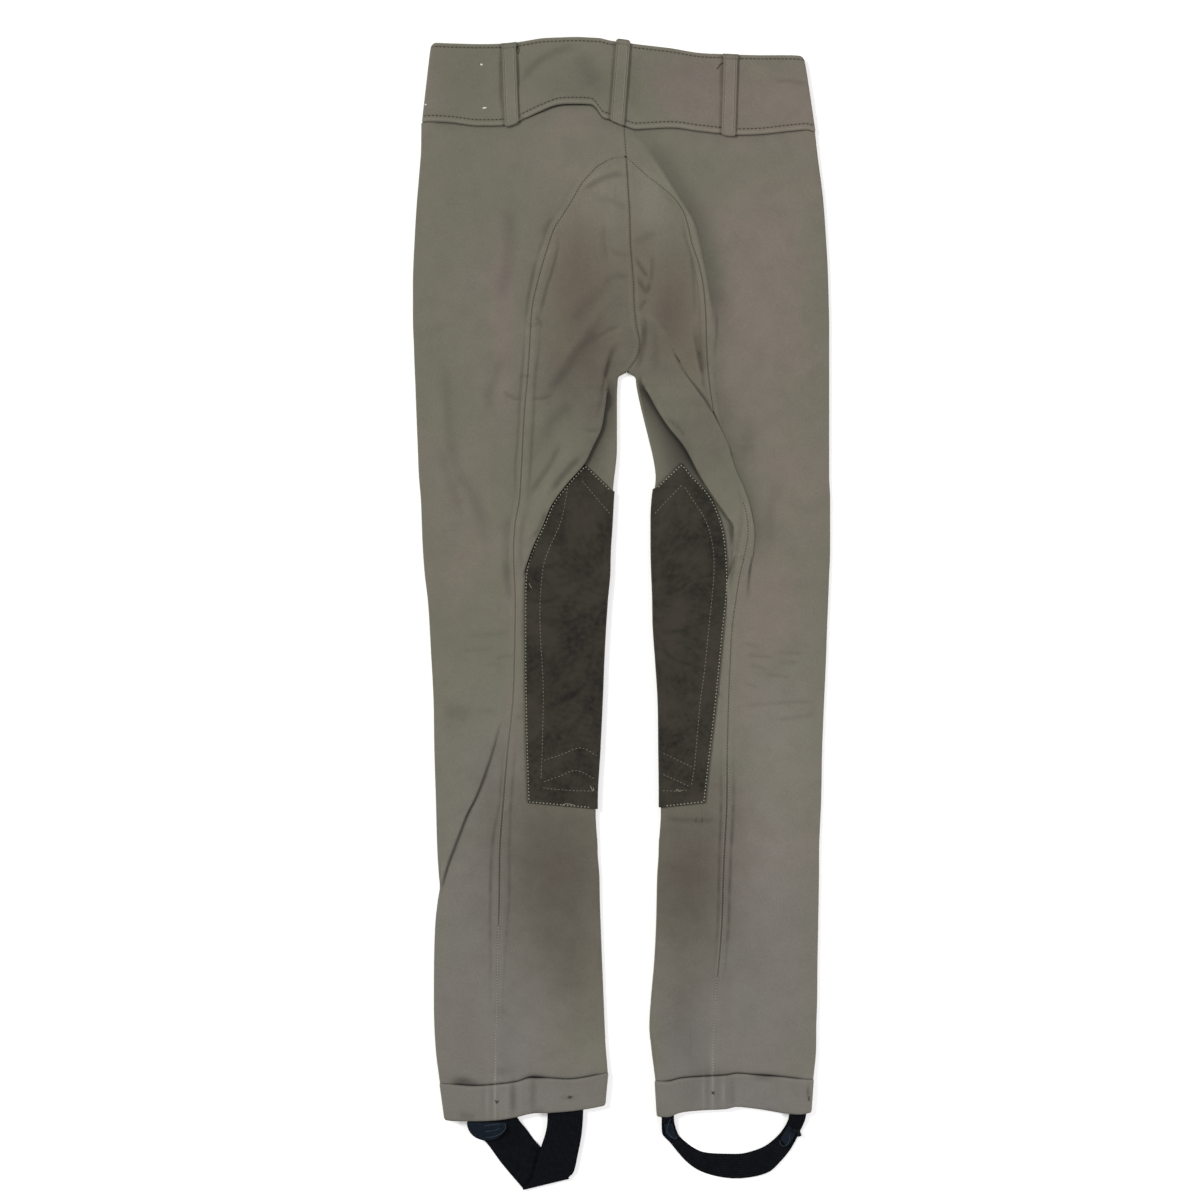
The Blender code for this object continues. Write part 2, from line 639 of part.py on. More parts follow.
def placed(leg, section, down):
    """World points, in millimetres, of a section given as across and height."""
    x = SIDES[leg] * section[:, 0]
    return np.stack([x, LENGTH / 2 - waved(leg, x, section[:, 1], down), section[:, 1]], 1)


def sides_of(path, along, closed=False):
    """Directions out of a path's wall, longer at its bends so that the wall keeps its thickness."""
    step = np.diff(np.vstack([path, path[:1]]) if closed else path, axis=0)
    side = np.cross(step, along)
    side /= np.linalg.norm(side, axis=1, keepdims=True)
    before = np.vstack([side[-1:], side[:-1]]) if closed else np.vstack([side[:1], side])
    after = side if closed else np.vstack([side, side[-1:]])
    return (before + after) / (1 + np.sum(before * after, axis=1, keepdims=True))


class Sheet:
    """Rows of points, joined row to row into the middle surface of a piece of cloth."""

    def __init__(self):
        self.points, self.normals, self.triangles = [], [], []
        self.last = None

    def add_row(self, stations, points, normals, join=True, closed=False):
        """A row joined to the one before. Stations say which points of two rows belong together."""
        start = len(self.points)
        self.points.extend(points)
        self.normals.extend(normals)
        row = [(start + i, s) for i, s in enumerate(stations)]
        if closed:
            row.append((start, stations[-1] + 1))
        if join and self.last:
            self.join(self.last, row)
        self.last = row

    def join(self, upper, lower):
        i = j = 0
        while i < len(upper) - 1 or j < len(lower) - 1:
            step_up = j == len(lower) - 1 or (i < len(upper) - 1 and upper[i + 1][1] <= lower[j + 1][1])
            if step_up:
                self.triangles.append((upper[i][0], upper[i + 1][0], lower[j][0]))
                i += 1
            else:
                self.triangles.append((upper[i][0], lower[j + 1][0], lower[j][0]))
                j += 1

    def solid(self, name, wall, material):
        """An object of the sheet's wall, closed along every free edge."""
        points = np.array(self.points)
        normals = np.array(self.normals)
        count = len(points)
        corners = np.concatenate([points + normals * wall / 2, points - normals * wall / 2]) * MM
        triangles = np.array(self.triangles)
        edges = {edge: True for a, b, c in triangles for edge in ((a, b), (b, c), (c, a))}
        rim = [(a, b) for a, b in edges if (b, a) not in edges]
        faces = [tuple(t) for t in triangles]
        faces += [(c + count, b + count, a + count) for a, b, c in triangles]
        for a, b in rim:
            faces.append((b, a, a + count))
            faces.append((b, a + count, b + count))
        return add_object(name, corners, faces, material)


def add_object(name, corners, faces, material):
    mesh = bpy.data.meshes.new(name)
    mesh.from_pydata([tuple(c) for c in corners], [], [tuple(int(i) for i in f) for f in faces])
    mesh.validate()
    edit = bmesh.new()
    edit.from_mesh(mesh)
    bmesh.ops.recalc_face_normals(edit, faces=edit.faces)
    edit.to_mesh(mesh)
    edit.free()
    mesh.shade_smooth()
    mesh.set_sharp_from_angle(angle=math.radians(40))
    mesh.materials.append(material)
    thing = bpy.data.objects.new(name, mesh)
    bpy.context.collection.objects.link(thing)
    return thing


def add_material(name, roughness):
    material = bpy.data.materials.new(name)
    material.use_nodes = True
    shader = material.node_tree.nodes["Principled BSDF"]
    shader.inputs["Base Color"].default_value = (*COLOURS[name], 1)
    shader.inputs["Roughness"].default_value = roughness
    shader.inputs["Metallic"].default_value = 0
    return material


def levels(*stretches):
    """Levels of sections: each stretch is its start, its end and its number of steps."""
    return np.unique(np.concatenate([np.linspace(a, b, n + 1) for a, b, n in stretches]))


SEAT_LEVELS = levels((SEAT_TOP, 104.6, 1), (104.6, 134.0, 5), (134.0, 174.0, 3), (174.0, 258.0, 5), (258.0, 279.0, 2))
WAIST_LEVELS = np.array([WAIST_LINE, 84.0, 92.0, 99.8])


def leg_levels(leg):
    """Levels of a leg's sections, close together where cloth is folded over."""
    thigh = levels((CROTCH, 284.5, 1), (284.5, 303.7, 3), (303.7, 458.0, 13), (458.0, 474.0, 2))
    shin = levels((CREASE_SPAN[0], 650.0, 4 if leg == "left" else 2), (650.0, CREASE_SPAN[1], 3 if leg == "left" else 2))
    ankle = levels((780.0, 829.0, 1), (829.0, CUFF_LINE, 3))
    return np.unique(np.concatenate([thigh, [504.0, 535.0], shin, [735.0, 757.0], ankle]))


def outer_panel(leg, material):
    sheet = Sheet()
    along = np.array([0, -SIDES[leg], 0])
    for down in np.concatenate([WAIST_LEVELS, SEAT_LEVELS, leg_levels(leg)]):
        stations, section = outer_section(leg, down)
        points = placed(leg, section, down)
        sheet.add_row(stations, points, sides_of(flat(points), along))
    return sheet.solid(f"outer_panel_{leg}", CLOTH, material)


def flat(points):
    """Points with the wave of their row taken out, so that a wall is square to its own section."""
    return points * np.array([1, 0, 1])


def seat_panel(leg, material):
    sheet = Sheet()
    along = np.array([0, -SIDES[leg], 0])
    for down in SEAT_LEVELS:
        stations, section = seat_back(leg, down)
        points = placed(leg, section, down)
        sheet.add_row(stations, points, sides_of(flat(points), along))
    for down in leg_levels(leg):
        stations, section = seat_back(leg, down)
        more, front = seat_front(leg, down)
        points = placed(leg, np.concatenate([section, front]), down)
        above = sheet.last
        sheet.add_row(np.concatenate([stations, more]), points, sides_of(flat(points), along), join=False)
        row = sheet.last
        sheet.join(above, row[: len(stations)] if down == CROTCH else row)
    return sheet.solid(f"seat_panel_{leg}", CLOTH, material)


def patch_point(leg, share, down, out):
    """Across and height on a patch: share runs 0 to 1 on the back, 1 to 2 round the fold, 2 to 3 on the front."""
    centre, height, radius, bottom = inner_fold(leg, down, out)
    if share <= 1:
        across = read(PATCHES[leg], "edge", down) * (1 - share) + centre * share
        return across, base_height(leg, across, down) + out
    if share < 2:
        angle = math.pi * (share - 0.5)
        return centre + radius * math.cos(angle), height + radius * math.sin(angle)
    end = line(leg, "front", down) - PATCH_MARGIN
    return centre + (end - centre) * (share - 2), bottom


def knee_patch(leg, material):
    sheet = Sheet()
    along = np.array([0, -SIDES[leg], 0])
    shares = np.concatenate([np.linspace(0, 1, 6), np.linspace(1, 2, 6)[1:], [3]])
    ends = PATCH_ENDS[leg]
    tops = np.interp(shares, [0, 1.5, 3], ends["top"])
    bottoms = np.interp(shares, [0, 1.5, 3], ends["bottom"])
    out = CLOTH / 2 + GAP + SUEDE / 2
    for step in levels((0, 0.35, 7), (0.35, 1, 7)):
        downs = tops + (bottoms - tops) * step
        section = np.array([patch_point(leg, s, d, out) for s, d in zip(shares, downs)])
        x = SIDES[leg] * section[:, 0]
        points = np.stack([x, LENGTH / 2 - downs, section[:, 1]], 1)
        sheet.add_row(shares, points, sides_of(flat(points), along))
    return sheet.solid(f"knee_patch_{leg}", SUEDE, material)


def band_height(x, down):
    """Centreline height of the waistband's back layer."""
    share = np.clip((x + BAND_SIDES["left"][1]) / (BAND_SIDES["left"][1] + BAND_SIDES["right"][1]), 0, 1)
    return 4.2 + 0.9 * 4 * share * (1 - share) + relief(x, down) * smooth(share * (1 - share), 0, 0.05)


def band_fold(leg, level):
    """Centre and radius of the waistband's fold at a side. The centre is given across."""
    radius = (band_height(SIDES[leg] * BAND_SIDES[leg][1], WAIST_LINE) - BAND / 2) / 2
    return np.interp(level, [0, 1], BAND_SIDES[leg]) - BAND / 2 - radius, radius


def band_columns(level):
    """x of the points along the back of the waistband."""
    return np.linspace(-band_fold("left", level)[0], band_fold("right", level)[0], BAND_STEPS + 1)


def band_front_columns(leg):
    """Across positions of the points along the front of the waistband, without its ends."""
    return np.linspace(0, band_fold(leg, 1.0)[0], 6)[1:-1]


def band_level(x, height, level):
    top = edge_level(BAND_EDGES, "top", x, height, BAND_DIP)
    bottom = edge_level(BAND_EDGES, "bottom", x, height, BAND_DIP)
    return top * (1 - level) + bottom * level


def waistband(material):
    """One strip round the flattened waist, from the centre front to the centre front."""
    sheet = Sheet()
    for level in (0.0, 0.2, 0.45, 0.7, 0.9, 1.0):
        back_x = band_columns(level)[::-1]
        back_down = read(BAND_EDGES, "top", back_x) * (1 - level) + read(BAND_EDGES, "bottom", back_x) * level
        back = np.stack([back_x, band_height(back_x, back_down)], 1)
        halves = []
        for leg in ("right", "left"):
            centre, radius = band_fold(leg, level)
            front = [(across, BAND / 2) for across in [GAP / 2, *band_front_columns(leg)]]
            side = arc(centre, BAND / 2 + radius, radius, -90, 90, 7)[:-1]
            halves.append(np.concatenate([front, side]) * [SIDES[leg], 1])
        section = np.concatenate([halves[0], back, halves[1][::-1]])
        x, height = section.T
        points = np.stack([x, LENGTH / 2 - band_level(x, height, level), height], 1)
        sheet.add_row(np.arange(len(points)), points, sides_of(flat(points), np.array([0, -1, 0])))
    return sheet.solid("waistband", BAND, material)


def belt_loop(name, top_x, bottom_x, material):
    """A strip from the top edge of the waistband to its lower edge, standing off it in the middle."""
    sheet = Sheet()
    for level in np.linspace(0, 1, 9):
        middle = top_x + (bottom_x - top_x) * level
        x = middle + np.array([LOOP_WIDTH, 0, -LOOP_WIDTH]) / 2
        down = read(BAND_EDGES, "top", x) * (1 - level) + read(BAND_EDGES, "bottom", x) * level
        arch = LOOP_ARCH * math.sin(math.pi * level)
        height = band_height(x, down) + BAND / 2 + GAP + LOOP / 2 + arch
        points = np.stack([x, LENGTH / 2 - down, height], 1)
        sheet.add_row(np.arange(3), points, np.tile([0, 0, 1.0], (3, 1)))
    return sheet.solid(name, LOOP, material)


def fly_flap(material):
    """The flap over the zip, let into the left front so that the front lies flat."""
    sheet = Sheet()
    for down in np.concatenate([WAIST_LEVELS, SEAT_LEVELS]):
        width = fly_width(down)
        if width < 3:
            break
        middle = float(line("left", "front", down))
        section = np.array([[middle + GAP / 2, CLOTH / 2], [middle + width, CLOTH / 2]])
        points = placed("left", section, down)
        sheet.add_row(np.arange(2), points, np.tile([0, 0, -1.0], (2, 1)))
    return sheet.solid("fly_flap", CLOTH, material)


def cuff(leg, material):
    """A turned cuff: a flattened ring that stands a little proud of the leg."""
    sheet = Sheet()
    radius = (CUFF_TOP_HEIGHT - BAND / 2) / 2
    height = BAND / 2 + radius
    for level in (0.0, 0.5, 1.0):
        columns = cuff_columns(leg, level)
        section = np.concatenate(
            [
                arc(columns[0], height, radius, -90, 90, 6),
                [(across, CUFF_TOP_HEIGHT) for across in columns[1:-1]],
                arc(columns[-1], height, radius, 90, 270, 6),
            ]
        )
        x = SIDES[leg] * section[:, 0]
        top, bottom = (edge_level(CUFF_EDGES[leg], edge, x, section[:, 1]) for edge in ("top", "bottom"))
        down = top * (1 - level) + bottom * level
        points = np.stack([x, LENGTH / 2 - down, section[:, 1]], 1)
        normals = sides_of(flat(points), np.array([0, -SIDES[leg], 0]), closed=True)
        sheet.add_row(np.arange(len(points)), points, normals, closed=True)
    return sheet.solid(f"cuff_{leg}", BAND, material)


def strap_point(name, along, width_share):
    """A point on a strap's underside: width_share runs from its left edge to its right one."""
    rows = STRAPS[name]
    x, down = (
        read(rows, f"left_{axis}", along) * (1 - width_share) + read(rows, f"right_{axis}", along) * width_share
        for axis in ("x", "down")
    )
    return np.stack([x, LENGTH / 2 - down, read(rows, "lift", along) + 0 * x], -1)


def foot_strap_left(material):
    """Elastic folded over at its tip, so that its second half lies on the first."""
    sheet = Sheet()
    shares = np.array([0.0, 0.5, 1.0])
    turn = STRAPS["left_over"]["lift"][0] / 2
    first = [strap_point("left", a, shares) + [0, 0, ELASTIC / 2] for a in np.linspace(0, 96, 13)]
    second = [strap_point("left_over", a, shares) + [0, 0, ELASTIC / 2] for a in np.linspace(0, 80, 11)]
    crosswise = first[-1][2] - first[-1][0]
    crosswise /= np.linalg.norm(crosswise)
    ahead = np.cross(crosswise, [0, 0, 1])
    ahead *= -np.sign(ahead[1])
    bend = [
        first[-1] + ahead * turn * math.sin(a) + np.array([0, 0, turn * (1 - math.cos(a))])
        for a in np.linspace(0, math.pi, 5)[1:-1]
    ]
    rows = np.array(first + bend + second)
    normals = np.stack([sides_of(rows[:, k], crosswise) for k in range(3)], 1)
    for row, sides in zip(rows, normals):
        sheet.add_row(np.arange(3), row, sides)
    return sheet.solid("foot_strap_left", ELASTIC, material)


def foot_strap_right(material):
    """Elastic that lies in a wide loop."""
    sheet = Sheet()
    shares = np.array([0.0, 0.5, 1.0])
    for along in np.linspace(0, 194, 33):
        row = strap_point("right", along, shares) + [0, 0, ELASTIC / 2]
        sheet.add_row(np.arange(3), row, np.tile([0, 0, 1.0], (3, 1)))
    return sheet.solid("foot_strap_right", ELASTIC, material)


def strap_tab(name, strap, start, end, edges, material):
    """A small tab that lies on a strap, with a rounded end."""
    sheet = Sheet()
    for share in np.linspace(0, 1, 7):
        rounding = 0.5 * (1 - math.sqrt(max(0.0, 1 - max(0.0, (share - 0.6) / 0.42) ** 2)))
        middle = (edges[0] + edges[1]) / 2
        half = (edges[1] - edges[0]) / 2 * (1 - rounding)
        row = strap_point(strap, start + (end - start) * share, middle + half * np.array([-1.0, 0, 1.0]))
        row = row + [0, 0, ELASTIC + GAP + TAB / 2]
        sheet.add_row(np.arange(3), row, np.tile([0, 0, 1.0], (3, 1)))
    return sheet.solid(name, TAB, material)


def main():
    for thing in list(bpy.data.objects):
        bpy.data.objects.remove(thing)
    cloth = add_material("cloth", 0.85)
    suede = add_material("suede", 0.95)
    elastic = add_material("elastic", 0.8)
    tab = add_material("tab", 0.6)
    for leg in SIDES:
        outer_panel(leg, cloth)
        seat_panel(leg, cloth)
        knee_patch(leg, suede)
        cuff(leg, cloth)
    waistband(cloth)
    fly_flap(cloth)
    belt_loop("belt_loop_left", -94.5, -92.0, cloth)
    belt_loop("belt_loop_centre", 1.6, -3.8, cloth)
    belt_loop("belt_loop_right", 91.4, 89.4, cloth)
    foot_strap_left(elastic)
    foot_strap_right(elastic)
    strap_tab("strap_tab_left", "left", 20.0, 34.0, (0.06, 0.9), tab)
    strap_tab("strap_tab_right_inner", "right", 26.0, 40.0, (0.1, 0.8), tab)
    strap_tab("strap_tab_right_outer", "right", 166.0, 150.0, (0.1, 0.85), tab)


main()
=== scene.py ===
"""Looks of the riding breeches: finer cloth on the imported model's forms, sewing, materials, light and camera.

Sizes are millimetres until a mesh is made. "down" is the distance below the top of the waistband, "across"
the distance out from the middle of the garment on either leg, and x runs to the wearer's right.
"""

import math

import bpy
import numpy as np
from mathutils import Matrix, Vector
from mathutils.bvhtree import BVHTree


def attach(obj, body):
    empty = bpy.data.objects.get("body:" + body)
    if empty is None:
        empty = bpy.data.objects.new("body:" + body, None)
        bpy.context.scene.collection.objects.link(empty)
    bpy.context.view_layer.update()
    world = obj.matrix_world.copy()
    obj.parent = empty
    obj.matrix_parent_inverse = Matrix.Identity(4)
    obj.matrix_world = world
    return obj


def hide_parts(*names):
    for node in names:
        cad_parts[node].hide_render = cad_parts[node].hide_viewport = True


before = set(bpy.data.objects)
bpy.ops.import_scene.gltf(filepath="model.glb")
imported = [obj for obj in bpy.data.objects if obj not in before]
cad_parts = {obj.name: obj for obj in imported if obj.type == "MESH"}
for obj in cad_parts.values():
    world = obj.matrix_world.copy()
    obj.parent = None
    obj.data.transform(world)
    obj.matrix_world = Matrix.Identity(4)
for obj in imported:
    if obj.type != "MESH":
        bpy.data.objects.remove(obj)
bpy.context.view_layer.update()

MM = 0.001  # a millimetre in metres
LENGTH = 967.0  # from the top of the waistband to the tip of the left foot strap
CLOTH = 1.2  # wall of the stretch cloth
BAND = 2.2  # wall of the waistband and the cuffs, where the cloth lies double
SUEDE = 1.2  # wall of the knee patches
ELASTIC = 1.5  # wall of the foot straps
TAB = 1.0  # thickness of the straps' tabs
LOOP = 1.1  # thickness of the belt loops
GAP = 0.3  # between two pieces that touch
SEAM_OPENING = {"seam": 0.0, "inner": 0.0, "front": 0.25}  # between two panels that are sewn together
BEND = 0.8  # centreline radius of a fold in the back layer
FULL_RISE = 4 * BEND  # height that a fold gains when it turns right back
LOOP_WIDTH = 12.0
LOOP_LENGTH = 68.0  # about what a belt loop shows, for the places of its details
LOOP_ARCH = 0.15  # how far the middle of a belt loop stands off the waistband
LOOP_ENDS = {"left": (0.0, 1.3), "centre": (2.2, 0.6), "right": (0.0, 1.4)}  # past the waistband's edges
BAR = 4.0  # length of the folded bar at a loop's top
WAIST_LINE = 77.0  # level of the waistband's lower edge, about which it waves
CUFF_LINE = 876.0  # level of the cuffs' upper edge, about which it waves
WAVE_REACH = 50.0  # how far such a wave reaches into the panels
SADDLE_TOP = 100.4  # where the two saddle seams meet the centre-back seam
SEAT_TOP = 101.6  # level of the seat panels' first row, just wide enough to be cloth
CROTCH = 280.6  # level where the legs part
FLY_WIDTH = 34.0
FLY_STRAIGHT = 178.0  # level where the fly's edge starts to curve in
FLY_END = 222.0
STEEPEST = 2.5  # slant of a seam, across for each step down, that its gap and its looks still follow
FIRST_ROW = 3.6  # from the waistband or a cuff to the panels' first evenly spaced row
SIDES = {"left": -1, "right": 1}


def table(columns, *rows):
    """A table with named columns. The first column rises from row to row."""
    values = np.array(rows, float)
    return {name: values[:, i] for i, name in enumerate(columns.split())}


def read(rows, column, place):
    """A column at a place along a table's first column, on a smooth curve that never overshoots."""
    at = next(iter(rows.values()))
    value = rows[column]
    slope = np.diff(value) / np.diff(at)
    tangent = np.concatenate([slope[:1], (slope[1:] + slope[:-1]) / 2, slope[-1:]])
    turning = np.concatenate([[False], slope[1:] * slope[:-1] <= 0, [False]])
    limit = 3 * np.minimum(np.abs(np.append(slope, slope[-1])), np.abs(np.insert(slope, 0, slope[0])))
    tangent = np.where(turning, 0, np.clip(tangent, -limit, limit))
    place = np.clip(place, at[0], at[-1])
    k = np.clip(np.searchsorted(at, place) - 1, 0, len(at) - 2)
    width = at[k + 1] - at[k]
    t = (place - at[k]) / width
    return (
        value[k] * (1 + 2 * t) * (1 - t) ** 2
        + tangent[k] * width * t * (1 - t) ** 2
        + value[k + 1] * t * t * (3 - 2 * t)
        + tangent[k + 1] * width * t * t * (t - 1)
    )


# Sections of the trunk: x of the folds at the sides, the saddle seams, the centre back and the centre front.
TRUNK = table(
    "down left_outer left_seam back front right_seam right_outer",
    (77.0, -168.0, 2.1, 2.1, 0.0, 2.1, 162.5),
    (100.4, -168.4, 3.8, 3.8, 0.5, 3.8, 165.0),
    (104.6, -168.8, -8.0, 4.1, 0.6, 8.6, 165.5),
    (109.0, -169.2, -16.2, 4.4, 0.7, 13.6, 166.0),
    (116.0, -169.9, -25.0, 4.9, 0.9, 21.0, 166.9),
    (123.0, -170.5, -33.0, 5.3, 1.0, 30.0, 167.8),
    (134.0, -171.5, -39.6, 6.0, 1.2, 42.5, 169.1),
    (147.0, -172.4, -47.6, 6.8, 1.5, 51.8, 170.2),
    (160.0, -173.2, -56.0, 7.1, 1.8, 56.0, 171.1),
    (174.0, -173.9, -61.0, 7.5, 2.1, 59.2, 172.0),
    (190.0, -174.7, -66.0, 8.8, 2.5, 64.5, 172.9),
    (206.0, -175.1, -70.4, 10.1, 2.8, 68.0, 173.5),
    (224.0, -175.1, -74.4, 10.6, 3.2, 70.0, 174.0),
    (241.0, -175.0, -76.0, 12.4, 3.6, 70.8, 174.3),
    (258.0, -174.3, -76.9, 15.4, 4.0, 71.2, 174.3),
    (268.0, -174.0, -77.5, 13.0, 4.2, 71.7, 174.3),
    (280.6, -173.5, -78.4, 4.4, 4.4, 72.6, 174.3),
)

# Sections of the legs, across. outer, inner: the folds at the sides. seam: the saddle seam on the back.
# front: the inner-leg seam on the front.
LEGS = {
    "left": table(
        "down outer seam inner front",
        (280.6, 173.5, 78.4, -4.2, -0.9),
        (284.5, 173.3, 78.7, 2.5, 6.5),
        (292.0, 173.0, 79.4, 3.4, 11.0),
        (303.7, 172.6, 80.5, 3.8, 16.0),
        (324.7, 171.8, 82.0, 3.8, 24.0),
        (349.9, 170.8, 83.2, 3.9, 32.0),
        (366.7, 170.1, 84.1, 4.6, 37.0),
        (387.7, 168.4, 85.6, 6.3, 41.0),
        (408.7, 167.6, 89.2, 7.4, 43.5),
        (429.7, 166.7, 90.3, 8.8, 45.5),
        (450.7, 165.1, 89.8, 9.4, 46.5),
        (471.7, 162.6, 89.0, 11.3, 48.5),
        (513.7, 160.0, 89.6, 13.9, 51.0),
        (555.7, 157.8, 91.0, 15.6, 52.5),
        (597.7, 157.1, 95.4, 17.6, 54.5),
        (639.7, 155.8, 99.0, 19.8, 57.0),
        (681.7, 154.6, 102.0, 19.9, 57.0),
        (702.7, 153.3, 102.3, 18.4, 55.5),
        (711.9, 152.5, 102.4, 18.2, 55.2),
        (723.7, 154.2, 102.5, 18.0, 55.0),
        (744.7, 156.4, 103.1, 17.3, 54.5),
        (807.7, 157.5, 104.6, 14.8, 52.0),
        (849.7, 155.8, 105.4, 13.0, 50.0),
        (876.0, 152.5, 105.4, 11.3, 48.5),
    ),
    "right": table(
        "down outer seam inner front",
        (280.6, 174.3, 72.6, 4.6, 7.9),
        (284.5, 174.3, 73.0, 11.2, 15.2),
        (292.0, 174.3, 73.9, 12.4, 20.0),
        (303.7, 174.3, 75.4, 14.7, 27.0),
        (318.8, 174.3, 78.0, 18.3, 34.0),
        (337.7, 174.3, 84.0, 23.0, 45.0),
        (349.9, 174.3, 88.2, 25.8, 51.5),
        (366.7, 174.3, 94.0, 27.3, 58.0),
        (387.7, 175.1, 101.2, 25.0, 58.5),
        (403.8, 175.1, 105.2, 24.2, 58.8),
        (413.7, 175.1, 105.9, 24.2, 59.2),
        (434.7, 175.0, 102.9, 24.3, 60.5),
        (450.7, 174.3, 99.0, 24.8, 62.0),
        (467.5, 173.7, 96.4, 25.5, 64.0),
        (493.5, 172.6, 92.8, 26.0, 67.0),
        (522.1, 171.6, 91.1, 28.0, 71.5),
        (555.7, 170.1, 89.7, 30.1, 77.0),
        (597.7, 168.4, 88.6, 30.7, 81.5),
        (639.7, 167.6, 88.3, 31.1, 85.0),
        (681.7, 165.9, 86.3, 31.0, 85.0),
        (702.7, 165.8, 85.4, 29.8, 84.0),
        (744.7, 165.1, 84.0, 28.8, 82.0),
        (775.7, 164.5, 81.6, 27.2, 80.0),
        (807.7, 164.2, 78.4, 24.4, 77.0),
        (828.7, 163.5, 77.5, 23.2, 76.0),
        (849.7, 163.3, 76.9, 24.8, 77.0),
        (876.0, 161.0, 77.0, 28.0, 80.0),
    ),
}

# Heights of the centreline: of the back layer at the outer fold and at the inner one, how far it puffs up
# between them, and of the front layer at the inner fold, which the knee patch lifts off the ground.
HEIGHTS = table(
    "down outer_top inner_top puff inner_bottom",
    (77.0, 3.9, 4.6, 0.5, 0.6),
    (120.0, 3.4, 4.8, 0.9, 0.6),
    (200.0, 3.2, 4.8, 1.4, 0.6),
    (268.0, 3.1, 4.4, 1.4, 0.6),
    (284.5, 3.1, 3.7, 1.3, 0.6),
    (345.0, 3.0, 3.8, 1.0, 0.6),
    (375.0, 3.0, 4.1, 0.9, 2.1),
    (500.0, 3.0, 4.2, 1.0, 2.1),
    (650.0, 3.0, 4.1, 1.0, 2.1),
    (681.0, 3.0, 3.7, 1.1, 0.6),
    (780.0, 3.4, 3.7, 1.2, 0.6),
    (876.0, 4.9, 4.9, 0.1, 0.6),
)

# Folds of cloth that lap over their neighbour. edge: across, at the fold's rim. turn: degrees that the cloth
# turns back on itself, 180 when it lies flat on what it covers. lap: length of the stretch that runs back.
FLAPS = {
    "left": table(
        "down edge turn lap",
        (290.0, 11.7, 0, 3.0),
        (303.7, 12.9, 130, 3.0),
        (313.0, 14.1, 180, 4.0),
        (329.0, 17.2, 180, 5.0),
        (343.0, 23.9, 180, 7.0),
        (357.4, 31.0, 180, 8.0),
        (373.4, 44.9, 180, 9.0),
        (390.2, 57.5, 180, 9.0),
        (412.0, 67.1, 180, 7.0),
        (425.5, 73.5, 180, 4.5),
        (436.4, 77.6, 110, 2.0),
        (443.0, 79.8, 60, 2.0),
        (450.0, 81.5, 32, 1.8),
        (460.0, 82.6, 13, 1.5),
        (472.0, 83.0, 0, 1.5),
    ),
    "right": table(
        "down edge turn lap",
        (288.0, 16.4, 0, 3.0),
        (303.7, 25.0, 150, 3.0),
        (312.0, 29.6, 180, 4.0),
        (326.0, 38.7, 180, 5.0),
        (342.3, 51.7, 180, 6.0),
        (367.5, 65.5, 180, 8.0),
        (386.8, 77.7, 180, 6.0),
        (401.1, 87.8, 180, 3.0),
        (410.3, 93.7, 160, 1.5),
        (419.0, 94.0, 80, 1.5),
        (430.0, 93.5, 20, 1.5),
        (440.0, 93.0, 0, 2.0),
    ),
}
ROLL = table(
    "down edge turn lap",
    (250.0, 36.0, 0, 3.0),
    (268.0, 45.5, 26, 3.5),
    (283.5, 54.2, 62, 3.0),
    (299.5, 65.5, 125, 3.5),
    (312.0, 74.6, 180, 4.5),
    (326.0, 82.0, 180, 5.0),
    (342.3, 89.5, 180, 6.0),
    (363.3, 96.4, 180, 7.0),
    (386.8, 105.9, 180, 8.0),
    (403.6, 110.1, 180, 8.0),
    (417.9, 111.3, 180, 8.0),
    (436.2, 110.1, 180, 8.5),
)
# Where the roll runs out, the cloth on both sides of the saddle seam lies raised up to a line, across.
RUN_OUT = table(
    "down edge width",
    (434.0, 109.6, 1.6),
    (445.0, 107.8, 2.4),
    (463.0, 106.0, 5.0),
    (490.0, 104.0, 12.0),
)
CREASE = table(
    "down edge turn lap",
    (566.0, 98.5, 0, 2.0),
    (592.6, 106.7, 60, 1.5),
    (613.6, 113.8, 80, 1.2),
    (637.1, 122.6, 90, 1.0),
    (651.4, 129.8, 90, 1.0),
    (674.1, 138.8, 90, 1.0),
    (690.0, 144.8, 85, 1.0),
    (703.0, 148.6, 70, 1.0),
    (713.0, 150.6, 30, 1.0),
)
ROLL_SPAN = (250.0, 436.2)
RUN_OUT_LEVELS = (436.0, 492.0)  # between which the roll's top goes down to nothing
RUN_OUT_LEAD = 1.6  # how far above the roll's end the outer panel already lies up to that line
RUN_OUT_LIFT = 0.05  # added to the roll's height there
SEAT_UNDER = 0.06  # how much lower the seat panel lies there than the outer one
ROLL_REACH = 25.0  # length over which the roll's height runs out inwards, at its two ends
ROLL_COVER = 9.0  # how far outwards of the roll's last point the cloth under it is plain
SKIRT_LEVELS = (300.0, 345.0)  # between which a skirt grows outside the roll
SKIRT_DROP = 0.7  # how much lower it starts than the roll's top
SKIRT_REACH = 11.0
FLAP_SPANS = {"left": (290.0, 472.0), "right": (288.0, 440.0)}
CREASE_SPAN = (566.0, 713.0)
FLAP_REACH = 30.0  # how far outwards the left flap lifts the cloth beside its rim

